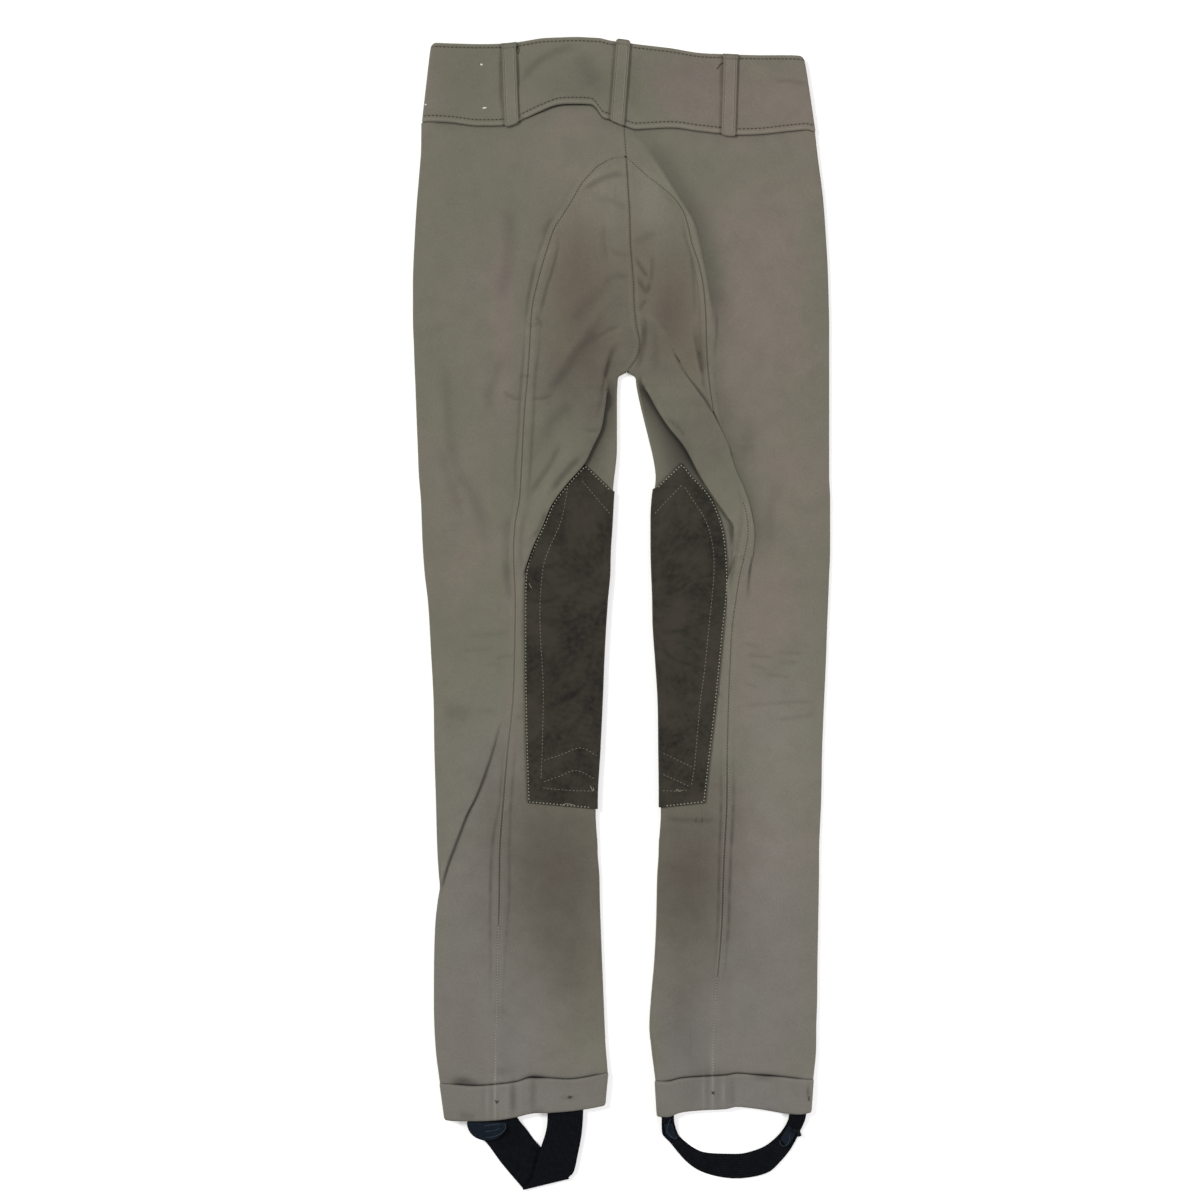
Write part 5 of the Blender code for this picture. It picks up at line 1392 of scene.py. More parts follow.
SUEDE_CREASES = (
    (2.2, -0.8, (-46.8, 389), (-49.6, 410), (-50, 430)),
    (1.6, 0.8, (-43.5, 392), (-45.5, 412)),
    (1.8, -0.7, (-71, 445.6), (-60, 444), (-50, 438)),
    (2.0, -0.9, (-74, 471.7), (-65, 473.5), (-57, 471), (-50, 467.5)),
    (2.2, 0.8, (-70, 467), (-58, 466)),
    (2.0, -0.9, (-48, 494), (-39, 489), (-28.6, 481.5)),
    (1.8, -0.9, (-58.4, 560), (-50, 557.3), (-37.4, 549), (-28, 541)),
    (2.4, 0.8, (-52, 551), (-38, 543)),
    (2.2, -0.8, (-22, 505), (-25, 520), (-30, 536)),
    (1.6, -0.7, (-77.4, 608), (-63.5, 601)),
    (3.0, -0.5, (-74, 515), (-62, 523), (-56, 536)),
    (1.8, -0.6, (31, 417), (52, 419), (78, 420)),
    (2.0, -0.8, (30, 497), (39, 499), (57.5, 496.5)),
    (2.2, 0.6, (33, 503), (50, 505)),
    (2.0, -0.9, (31.5, 509.5), (40, 519), (49, 524), (62, 526)),
    (2.4, -0.6, (54, 560), (64, 556)),
    (2.0, -0.6, (44, 388), (46, 404)),
    (2.0, -0.5, (58, 392), (56, 410)),
)


def knee_patch(leg, material):
    shares = np.concatenate([
        np.linspace(0, 1, steps(62) + 1),
        np.linspace(1, 2, steps(12) + 1)[1:],
        np.linspace(2, 3, steps(14) + 1)[1:],
    ])
    tops, bottoms = (patch_end(leg, name, shares) for name in ("top", "bottom"))
    levels = np.linspace(0, 1, round(288 / PATCH_PITCH))[:, None]
    downs = tops + (bottoms - tops) * levels
    out = CLOTH / 2 + GAP + SUEDE / 2
    centre, height, radius, bottom = inner_fold(leg, downs, out)
    edge = read(PATCHES[leg], "edge", downs[:, :1])
    end = line(leg, "front", downs) - PATCH_MARGIN
    back_across = edge * (1 - shares) + centre * shares
    angle = math.pi * (np.clip(shares, 1, 2) - 0.5)
    across = np.where(shares <= 1, back_across, np.where(
        shares < 2, centre + radius * np.cos(angle), centre + (end - centre) * (shares - 2)))
    top = base_height(leg, back_across, downs) + out
    z = np.where(shares <= 1, top, np.where(shares < 2, height + radius * np.sin(angle), bottom))
    x = SIDES[leg] * across
    points = np.stack([x, LENGTH / 2 - downs, z], -1)
    normals = normals_of(points, SIDES[leg])
    weight = (shares <= 1) * smooth(1 - shares, 0, 0.12) + 0 * downs
    edge_away = np.minimum((edge - across), np.minimum(downs - tops, bottoms - downs))
    raised, shade = creases(SUEDE_CREASES, x, downs)
    detail = weight * (raised + 0.8 * unevenness(x, downs))
    shade = weight * shade + read(FLAP_SHADE[leg], "dark", downs) * beside(FLAPS[leg], across, downs, -1, 4.0)
    detail = detail - 0.3 * bell(np.minimum(edge_away, 9), 0.6) * weight
    shell = skin(points, normals, SUEDE, detail, shade, SIDES[leg])
    thing = shell.make(f"knee_patch_{leg}_suede", material, [f"knee_patch_{leg}"], "suede")
    return shell


# ---- Waistband, loops, fly and cuffs -----------------------------------------------------------------------

LOOPS = {"left": (-94.5, -92.0), "centre": (1.6, -3.8), "right": (91.4, 89.4)}  # x at the top and the bottom
BAND_STITCH_TOP = 3.2  # from the waistband's upper edge to its stitching
BAND_STITCH_BOTTOM = 5.2
BAND_CORNER = 3.6  # radius of the waistband's upper corners
BAND_CREASES = (
    (3.6, -0.7, (-85, 39), (-74, 25), (-60, 15), (-47, 10), (-36, 9)),
    (8.0, -0.55, (-38, 14), (-30, 26), (-20, 42)),
    (4.0, 0.6, (-51, 30), (-44, 36), (-35, 43)),
    (1.2, -0.8, (-85, 67), (-79, 71), (-72, 72)),
    (2.0, -0.5, (-24, 58), (-20, 66)),
    (1.6, -0.5, (128, 37), (142, 37), (156, 40)),
    (1.8, -0.3, (-102, 14), (-100.5, 60)),
    (5.0, -0.25, (12.5, 12), (9, 62)),
    (6.0, 0.4, (30, 40), (70, 46)),
)
CUFF_CREASES = (
    (3.0, -0.6, (-136, 903), (-122, 906)),
    (2.5, -0.5, (-76, 902), (-64, 899)),
    (3.0, -0.5, (-91, 876), (-91, 902)),
    (3.0, -0.4, (-74, 874), (-74, 900)),
    (2.0, -0.4, (-52, 889), (-38, 889)),
    (2.0, -0.5, (93, 872), (93, 896)),
    (3.0, -0.4, (120, 898), (131, 902)),
)


def waistband(material):
    levels = np.concatenate([
        np.linspace(0, 0.12, steps(15) + 1)[:-1], np.linspace(0.12, 0.88, steps(32) + 1)[:-1],
        np.linspace(0.88, 1, steps(15) + 1),
    ])
    rows = []
    for level in levels:
        ends = [band_fold(leg, level) for leg in ("right", "left")]
        back_x = np.linspace(ends[0][0], -ends[1][0], steps(210) + 1)
        back_down = read(BAND_EDGES, "top", back_x) * (1 - level) + read(BAND_EDGES, "bottom", back_x) * level
        back = np.stack([back_x, band_height(back_x, back_down)], 1)[1:-1]
        halves = []
        for leg, (centre, radius) in zip(("right", "left"), ends):
            front = np.linspace(GAP / 2, centre, steps(24) + 1)[:-1]
            front = np.stack([front, 0 * front + BAND / 2], 1)
            side = arc(centre, BAND / 2 + radius, radius, -90, 90, steps(12) + 1)
            halves.append(np.concatenate([front, side]) * [SIDES[leg], 1])
        section = np.concatenate([halves[0], back, halves[1][::-1]])
        x, height = section.T
        side = np.where(x > 0, *(np.interp(level, [0, 1], BAND_SIDES[leg]) for leg in ("right", "left")))
        beyond = np.clip(BAND_CORNER - (side - BAND / 2 - np.abs(x)), 0, BAND_CORNER)
        corner = (BAND_CORNER - np.sqrt(BAND_CORNER**2 - beyond**2)) * (1 - level) ** 8
        rows.append(np.stack([x, LENGTH / 2 - band_level(x, height, level) - corner, height], 1))
    points = np.array(rows)
    normals = normals_of(points, 1)
    x, down = points[..., 0], LENGTH / 2 - points[..., 1]
    on_back = smooth(points[..., 2], 3.0, 3.8) * smooth(normals[..., 2], 0.5, 0.9)
    length = read(BAND_EDGES, "bottom", x) - read(BAND_EDGES, "top", x)
    above, below = levels[:, None] * length, (1 - levels)[:, None] * length
    rounding = -0.6 * bell(np.minimum(above, below), 0.8)
    raised, shade = creases(BAND_CREASES, x, down)
    sewn = bell(above - BAND_STITCH_TOP, 0.8)
    sewn = sewn + bell(below - BAND_STITCH_BOTTOM, 0.8)
    rolled = bell(below - 1.9, 1.1)
    hem = bell(below, 0.5)
    detail = on_back * (0.7 * unevenness(x, down) + raised - 0.35 * sewn + 0.3 * rolled) + rounding
    # painted shade in the stitch furrows and along the lower edge; painted highlight on the roll above the
    # lower edge and just below the upper edge
    shade = shade + 0.16 * sewn - 0.17 * rolled - 0.06 * bell(above - 1.2, 0.9) + 0.3 * hem
    shell = skin(points, normals, BAND, detail, on_back * shade)
    thing = shell.make("waistband_cloth", material, ["waistband"], "cloth")
    return shell


def slab(shell, points, wall, sign=1, shade=0.0):
    """A flat piece with both its faces, from the points of its middle."""
    normals = normals_of(points, sign)
    upper, lower = points + normals * wall / 2, points - normals * wall / 2
    numbers = shell.add(upper, shade)
    shell.quads(numbers, sign)
    below = shell.add(lower)
    shell.quads(below, -sign)
    rims = [np.append(loop_of(grid), grid[0, 0]) for grid in (numbers, below)]
    shell.quads(np.stack(rims), -sign)


def loop_edges(name, x):
    """Levels of a belt loop's two ends."""
    over, under = LOOP_ENDS[name]
    return read(BAND_EDGES, "top", x) - over, read(BAND_EDGES, "bottom", x) + under


def belt_loop(name, material):
    top_x, bottom_x = LOOPS[name]
    levels = np.linspace(0, 1, steps(96) + 1)[:, None]
    share = np.linspace(1, -1, steps(16) + 1)
    above, below = levels * LOOP_LENGTH, (1 - levels) * LOOP_LENGTH
    tucked = 0.3 * (name == "centre") * bell(above, 0.8)
    half = LOOP_WIDTH / 2 * (1 - 0.22 * bell(below, 0.9) - tucked)
    half = half + 0.45 * (name != "centre") * (1 - smooth(above, BAR - 0.6, BAR + 0.6))
    x = top_x + (bottom_x - top_x) * levels + share * half
    top, bottom = loop_edges(name, x)
    down = top * (1 - levels) + bottom * levels
    arch = LOOP_ARCH * np.sin(math.pi * levels)
    height = band_height(x, down) + BAND / 2 + GAP + LOOP / 2 + arch
    seamed = bell(np.abs(share) - 0.67, 0.09)
    barred = bell(above - BAR, 0.5) + 0.7 * bell(above - 0.9, 0.5)
    height = height + 0.12 * (1 - smooth(above, BAR - 0.4, BAR + 0.4)) - 0.12 * seamed
    # painted shade along the stitching, at the folds of the bar, along the sides and at the lower end; the rest
    # slightly lighter
    shade = 0.2 * seamed + 0.3 * barred + 0.3 * smooth(np.abs(share), 0.86, 1.0)
    shade = shade + 0.2 * bell(below, 0.8) - 0.05
    shell = Shell()
    slab(shell, np.stack([x, LENGTH / 2 - down, height], -1), LOOP, 1, shade)
    thing = shell.make(f"belt_loop_{name}_cloth", material, [f"belt_loop_{name}"], "cloth")
    return shell


def fly_flap(material):
    downs = np.linspace(WAIST_LINE, FLY_END - 0.4, steps(60) + 1)
    rows = []
    for down in downs:
        middle = float(line("left", "front", down))
        across = middle + np.linspace(GAP / 2, max(float(fly_width(down)), 0.5), steps(12) + 1)
        height = 0 * across + CLOTH / 2
        x = -across
        rows.append(np.stack([x, LENGTH / 2 - waved("left", x, height, down), height], 1))
    shell = Shell()
    slab(shell, np.array(rows), CLOTH, 1)
    thing = shell.make("fly_flap_cloth", material, ["fly_flap"], "cloth")


def cuff(leg, material):
    radius = (CUFF_TOP_HEIGHT - BAND / 2) / 2
    height = BAND / 2 + radius
    levels = np.linspace(0, 1, steps(22) + 1)
    rows = []
    for level in levels:
        outer, inner = cuff_ends(leg, level)
        back = np.linspace(outer, inner, steps(160) + 1)[1:-1]
        under = np.linspace(inner, outer, steps(40) + 1)[1:-1]
        section = np.concatenate([
            arc(outer, height, radius, -90, 90, steps(10) + 1),
            np.stack([back, 0 * back + CUFF_TOP_HEIGHT], 1),
            arc(inner, height, radius, 90, 270, steps(10) + 1),
            np.stack([under, 0 * under + BAND / 2], 1),
        ])
        x = SIDES[leg] * section[:, 0]
        top = edge_level(CUFF_EDGES[leg], "top", x, section[:, 1])
        bottom = read(CUFF_EDGES[leg], "bottom", x)
        rows.append(np.stack([x, LENGTH / 2 - top * (1 - level) - bottom * level, section[:, 1]], 1))
    points = np.array(rows)
    looped = np.concatenate([points[:, -1:], points, points[:, :1]], axis=1)
    normals = normals_of(looped, SIDES[leg])[:, 1:-1]
    x, down = points[..., 0], LENGTH / 2 - points[..., 1]
    on_back = smooth(points[..., 2], 4.0, 5.0) * smooth(normals[..., 2], 0.5, 0.9)
    edge = np.minimum(levels, 1 - levels)[:, None] * CUFF_HEIGHT
    from_top = levels[:, None] * CUFF_HEIGHT
    raised, shade = creases(CUFF_CREASES, x, down)
    # a little darker all over, painted highlight just below the upper edge and painted shade along both edges
    shade = shade + 0.035 - 0.08 * bell(from_top - 1.5, 1.0) + 0.12 * bell(edge, 0.5)
    detail = on_back * (0.9 * unevenness(x, down) + raised) - 0.6 * bell(edge, 1.0)
    face = outer_face(points, normals, BAND, detail)
    shell = Shell()
    numbers = shell.add(face, on_back * shade)
    closed = np.concatenate([numbers, numbers[:, :1]], axis=1)
    shell.quads(closed, SIDES[leg])
    shell.lip(numbers[0], face[0], normals[0], BAND, SIDES[leg])
    shell.lip(numbers[-1][::-1], face[-1][::-1], normals[-1][::-1], BAND, SIDES[leg])
    thing = shell.make(f"cuff_{leg}_cloth", material, [f"cuff_{leg}"], "cloth")
    return shell


# ---- Foot straps -------------------------------------------------------------------------------------------

RIB = 2.1  # from one rib of the elastic to the next
# Levels and heights of the strap's underside below the left tab.
LEFT_TAB_LIFT = (910.0, 912.5, 921.0, 929.0), (2.5, 2.4, 1.4, 0.0)


def strap_rows(name, start, end):
    """The middle of a strap between two places along it."""
    shares = np.linspace(0, 1, steps(84) + 1)
    count = steps(round(abs(end - start) / 1.5))
    rows = [strap_point(name, along, shares) for along in np.linspace(start, end, count + 1)]
    return np.array(rows) + [0, 0, ELASTIC / 2]


def ribs(points):
    """Shade of elastic's lengthwise ribs."""
    width = np.linalg.norm(points[:, -1] - points[:, 0], axis=1)[:, None]
    return 0.5 * np.sin(2 * math.pi * np.linspace(0, 1, points.shape[1]) * width / RIB)


def foot_strap_left(material):
    first, second = strap_rows("left", 0, 96), strap_rows("left_over", 0, 80)
    turn = STRAPS["left_over"]["lift"][0] / 2
    crosswise = first[-1][-1] - first[-1][0]
    crosswise /= np.linalg.norm(crosswise)
    ahead = np.cross(crosswise, [0, 0, 1])
    ahead *= -np.sign(ahead[1])
    bend = [
        first[-1] + ahead * turn * math.sin(a) + np.array([0, 0, turn * (1 - math.cos(a))])
        for a in np.linspace(0, math.pi, 9)[1:-1]
    ]
    shell, points = Shell(), np.concatenate([first, bend, second])
    slab(shell, points, ELASTIC, 1, ribs(points))
    thing = shell.make("foot_strap_left_elastic", material, ["foot_strap_left"], "elastic")
    return shell


def foot_strap_right(material):
    shell, points = Shell(), strap_rows("right", 0, 194)
    slab(shell, points, ELASTIC, 1, ribs(points))
    thing = shell.make("foot_strap_right_elastic", material, ["foot_strap_right"], "elastic")
    return shell


def strap_tab(name, strap, start, end, edges, material):
    """A tab along a strap, with a rounded end."""
    rows = []
    for share in np.linspace(0, 1, steps(16) + 1):
        rounding = 0.5 * (1 - math.sqrt(max(0.0, 1 - max(0.0, (share - 0.6) / 0.42) ** 2)))
        middle = (edges[0] + edges[1]) / 2
        half = (edges[1] - edges[0]) / 2 * (1 - rounding)
        width_shares = middle + half * np.linspace(-1, 1, steps(10) + 1)
        row = strap_point(strap, start + (end - start) * share, width_shares)
        rows.append(row + [0, 0, ELASTIC + GAP + TAB / 2])
    return tab_of(name, np.array(rows), material)


def half_round_tab(name, strap, middle, top, half, length, material):
    """A tab that hangs from the cuff's edge on a strap and ends in a half round."""
    rows = []
    for share in np.sin(np.linspace(0, math.pi / 2 - 0.12, steps(20) + 1)):
        x = middle + half * math.sqrt(1 - share**2) * np.linspace(-1, 1, steps(20) + 1)
        down = top + length * share
        height = np.interp(down, *strap) + ELASTIC + GAP + TAB / 2
        rows.append(np.stack([x, LENGTH / 2 - down + 0 * x, height + 0 * x], 1))
    return tab_of(name, np.array(rows), material)


def tab_of(name, points, material):
    shell = Shell()
    slab(shell, points, TAB, np.sign(normals_of(points, 1)[2, 2, 2]))
    shell.make(f"{name}_rubber", material, [name], "tab")
    return shell


# ---- Sewing ------------------------------------------------------------------------------------------------


class Top:
    """The upper faces of some pieces, to lay thread on."""

    def __init__(self, *shells):
        points, faces, count = [], [], 0
        for shell in shells:
            more, corners, _ = shell.arrays()
            points.append(more)
            faces.append(corners + count)
            count += len(more)
        points = np.concatenate(points)
        self.tree = BVHTree.FromPolygons(points.tolist(), np.concatenate(faces).tolist())

    def drop(self, x, down):
        """The place on the cloth at x and down, and the direction that it faces."""
        place, normal, _, _ = self.tree.ray_cast(Vector((x, LENGTH / 2 - down, 60)), Vector((0, 0, -1)))
        if place is None:
            return None, None
        return place, normal if normal.z > 0 else -normal


class Thread:
    """Stitches of one colour, gathered into one mesh."""

    SIDES = 5
    RINGS = ((0.0, 0.45, -0.5), (0.25, 1.0, 0.1), (0.75, 1.0, 0.1), (1.0, 0.45, -0.5))  # along, size, rise

    def __init__(self, width):
        self.width = width
        self.points, self.faces = [], []

    def stitch(self, start, end, normal, sunk=0.0, width=None):
        """A stitch from one place on the cloth to another, tapered where it goes in."""
        width = width or self.width
        along = end - start
        if along.length < 1e-3:
            return
        across = along.cross(normal).normalized()
        up = across.cross(along).normalized()
        first = len(self.points)
        for share, size, rise in self.RINGS:
            middle = start + along * share + up * (rise * width / 2 - sunk)
            for k in range(self.SIDES):
                angle = 2 * math.pi * k / self.SIDES
                out = across * math.cos(angle) + up * math.sin(angle)
                self.points.append(middle + out * size * width / 2)
        for ring in range(3):
            for k in range(self.SIDES):
                a, b = first + ring * self.SIDES + k, first + ring * self.SIDES + (k + 1) % self.SIDES
                self.faces.append((a, a + self.SIDES, b + self.SIDES, b))
        self.faces.append(tuple(first + k for k in range(self.SIDES)))
        self.faces.append(tuple(first + 3 * self.SIDES + k for k in reversed(range(self.SIDES))))

    def sew(self, top, path, pitch, length, sunk=0.0, skip=None, aside=0.0, swing=0.0):
        """Stitches along a path of x and down. aside moves them off it, swing slants them by turns."""
        path = np.array(path, float)
        lengths = np.linalg.norm(np.diff(path, axis=0), axis=1)
        begins = np.concatenate([[0], np.cumsum(lengths)])
        for n in range(int(begins[-1] / pitch)):
            middle = (n + 0.5) * pitch
            ends = []
            for side, at in ((-1, middle - length / 2), (1, middle + length / 2)):
                x, down = (np.interp(at, begins, path[:, k]) for k in (0, 1))
                k = min(np.searchsorted(begins, max(at, 1e-6)) - 1, len(lengths) - 1)
                run = (path[k + 1] - path[k]) / lengths[k]
                off = aside + swing * side * (1 if n % 2 else -1) + 0.06 * math.sin(2.3 * n + side)
                x, down = x - run[1] * off, down + run[0] * off
                ends.append((x, down))
            if skip and skip(*ends[0]):
                continue
            start, normal = top.drop(*ends[0])
            end, _ = top.drop(*ends[1])
            if start is None or end is None:
                continue
            self.stitch(start, end, normal, sunk)

    def strand(self, top, path, rise=0.2, width=None):
        """A loose thread that lies on the cloth along a path of x, down and height above it."""
        places = []
        for point in course(path, 5) if len(path) > 2 else np.array(path, float):
            place, normal = top.drop(point[0], point[1])
            if place is None:
                place, normal = Vector((point[0], LENGTH / 2 - point[1], 2.0)), Vector((0, 0, 1))
            lift = point[2] if len(point) > 2 else 0.0
            places.append(place + normal * (rise + lift))
        for start, end in zip(places, places[1:]):
            self.stitch(start, end, Vector((0, 0, 1)), 0.0, width)

    def make(self, name, material, slot):
        mesh = bpy.data.meshes.new(name)
        mesh.from_pydata([tuple(p * MM) for p in self.points], [], self.faces)
        mesh.shade_smooth()
        mesh.materials.append(material)
        return dressed(name, mesh, [])


def stepped(start, end, pitch=1.0):
    """Places from start to end, about a pitch apart."""
    return np.linspace(start, end, max(2, round(abs(end - start) / pitch)) + 1)


PIXEL = 0.84  # millimetres that one point of the picture shows
PICTURE_MIDDLE, PICTURE_TOP = 621.5, 38.5  # where the garment's middle and top are in it
PALE_SEAM = {"left": 745.0, "right": 788.0}  # level from which a saddle seam's thread is pale


def under_loop(x, down):
    """Whether a belt loop covers a place on the waistband."""
    level = np.clip((down - 8) / 64, 0, 1)
    near = LOOP_WIDTH / 2 + 0.4
    return any(abs(x - (top + (bottom - top) * level)) < near for top, bottom in LOOPS.values())


def under_roll(_, down):
    """Whether the roll covers the right saddle seam at a level."""
    return 312 < down < 388


def at_meeting(_, down):
    """Whether a level is where the saddle seams and the centre-back seam meet."""
    return SADDLE_TOP - 1.5 < down < SEAT_TOP + 3


def seam_path(leg, column, start, end, step=1.5):
    """Course of a seam as x and down."""
    downs = stepped(start, end, step)
    x = np.array([SIDES[leg] * float(line(leg, column, down)) for down in downs])
    shown = [float(waved(leg, a, np.array(4.0), d)) for a, d in zip(x, downs)]
    return np.stack([x, shown], 1)


def in_pixels(points):
    """Places given as points of the 1200-point picture that the camera takes."""
    return [((x - PICTURE_MIDDLE) * PIXEL, (y - PICTURE_TOP) * PIXEL) for x, y in points]


# Courses of the patches' stitching, in points of the picture.
PATCH_STITCH = {
    "left": [
        [(581.7, 480.6), (597, 499), (612.4, 517)],
        [(568, 484), (566, 499), (561, 522), (551, 545), (544, 564), (541, 589), (540, 610), (541, 643),
         (543, 676), (543.4, 709), (542, 759), (541, 781)],
        [(542.6, 786.5), (549, 788), (574, 790), (597, 790.5)],
        [(543.4, 760), (562, 754), (580.8, 747.4), (600, 757)],
        [(543.4, 781.4), (560, 775.5), (576.6, 770), (598, 780)],
    ],
    "right": [
        [(682, 485), (667, 500.5), (653, 515.6)],
        [(684, 487), (693, 501), (704.5, 519), (711, 539), (713.6, 559), (712.8, 585), (708.6, 626),
         (704.5, 668), (700, 701), (697, 734), (694, 766), (691, 785.5)],
        [(658, 790), (676, 790.5), (691, 789)],
        [(659, 750.7), (676, 759), (693.7, 767.3)],
        [(659, 772), (675, 779.4), (690.4, 786.4)],
    ],
}
PATCH_EDGE_STITCH = 1.0  # from a patch's edge to the slanted stitches that hold it


def patch_edge_path(leg):
    """Course of the stitches inside a patch's edge, from inner top round the outside to inner bottom."""
    rows, sign = PATCHES[leg], SIDES[leg]

    def run(name, start, end, inset):
        """Along the top or the bottom."""
        outer, fold, _ = PATCH_ENDS[leg][name]
        corner, inner = float(read(rows, "edge", outer)), float(inner_fold(leg, fold)[0])
        return [
            (sign * (corner * (1 - share) + inner * share), float(patch_end(leg, name, share)) + inset)
            for share in np.linspace(start, end, 20)
        ]

    top, bottom = (PATCH_ENDS[leg][name][0] for name in ("top", "bottom"))
    side = [
        (sign * (float(read(rows, "edge", down)) - PATCH_EDGE_STITCH), down)
        for down in stepped(top + 2.5, bottom - PATCH_EDGE_STITCH, 2.0)
    ]
    before = run("top", 0.95, 0.03, PATCH_EDGE_STITCH * 1.2)
    return before + side + run("bottom", 0.03, 0.95, -PATCH_EDGE_STITCH)


# Threads laid on the pieces: name, width, colour, slot and height above the piece. Then for each of them the
# piece, its course in points of the picture, and its own width where it has one.
LAID = (
    ("waistband_tacks", 0.55, "white", "cloth", 0.1, (
        ("band", [(480.6, 66.0), (483.2, 66.6)], 1.7),
        ("band", [(482.8, 109.7), (487.0, 109.0)], 1.5),
        ("band", [(425.0, 105.6), (427.2, 106.3)], 1.2),
    )),
    ("cuff_tacks", 0.9, "dark", "cloth", 0.1, (
        ("cuff_left", [(495.2, 1098.2), (498.0, 1101.4)]),
        ("cuff_left", [(499.2, 1098.8), (496.0, 1102.0)]),
        ("cuff_left", [(567.2, 1096.4), (572.8, 1094.6)]),
        ("cuff_left", [(569.2, 1093.8), (570.6, 1097.4)]),
        ("cuff_right", [(711.2, 1089.6), (714.4, 1093.0)]),
        ("cuff_right", [(714.2, 1089.8), (711.6, 1092.8)]),
        ("cuff_right", [(808.6, 1094.4), (808.2, 1099.6)]),
    )),
    ("waistband_loose_threads", 0.5, "deep", "cloth", 0.25, (
        ("band", [(722.9, 64.6), (720.0, 65.8), (718.2, 68.6), (716.4, 70.6)]),
        ("band", [(516.0, 47.0), (517.6, 49.4), (517.0, 53.0)]),
        ("band", [(517.6, 47.4), (519.4, 50.8), (518.4, 56.0)]),
    )),
    ("patch_loose_threads", 0.55, "bright", "suede", 0.3, (
        ("patch_left", [(529.4, 583.4), (530.6, 586.0), (532.0, 588.0)]),
        ("patch_left", [(561.0, 805.6), (565.0, 803.2), (570.0, 803.4), (574.4, 804.6)]),
        ("patch_left", [(590.4, 785.4), (592.0, 788.6), (594.0, 790.2), (593.0, 787.0)]),
        ("patch_right", [(675.4, 790.4), (677.2, 788.8), (679.2, 790.8), (681.2, 789.4)]),
    )),
    ("strap_tab_rims", 0.8, "rim", "tab", 0.1, (
        ("strap_left", [(504.0, 1122), (506.0, 1125), (504.6, 1129), (500.0, 1133), (493.5, 1135.6),
                        (486.5, 1136.2)]),
        ("strap_left", [(484.6, 1124.6), (493.0, 1123.2), (500.6, 1122.4)]),
        ("strap_left", [(485.4, 1130.4), (493.0, 1129.4), (500.0, 1127.2)]),
        ("strap_right", [(670.4, 1118), (667.6, 1124), (666.8, 1130), (670.0, 1134.6), (675.0, 1138),
                         (676.8, 1136)]),
        ("strap_right", [(788.4, 1133), (789.4, 1138), (787.0, 1143.6), (783.0, 1145.6), (780.0, 1143),
                         (780.0, 1139)]),
    )),
    # the end of the elastic that stands out beside the right strap
    ("foot_strap_right_loose_end", 4.4, "black", "elastic", 0.1, (
        ("strap_right", [(793.6, 1129.6), (797.6, 1131.0), (799.4, 1135.6)]),
    )),
)


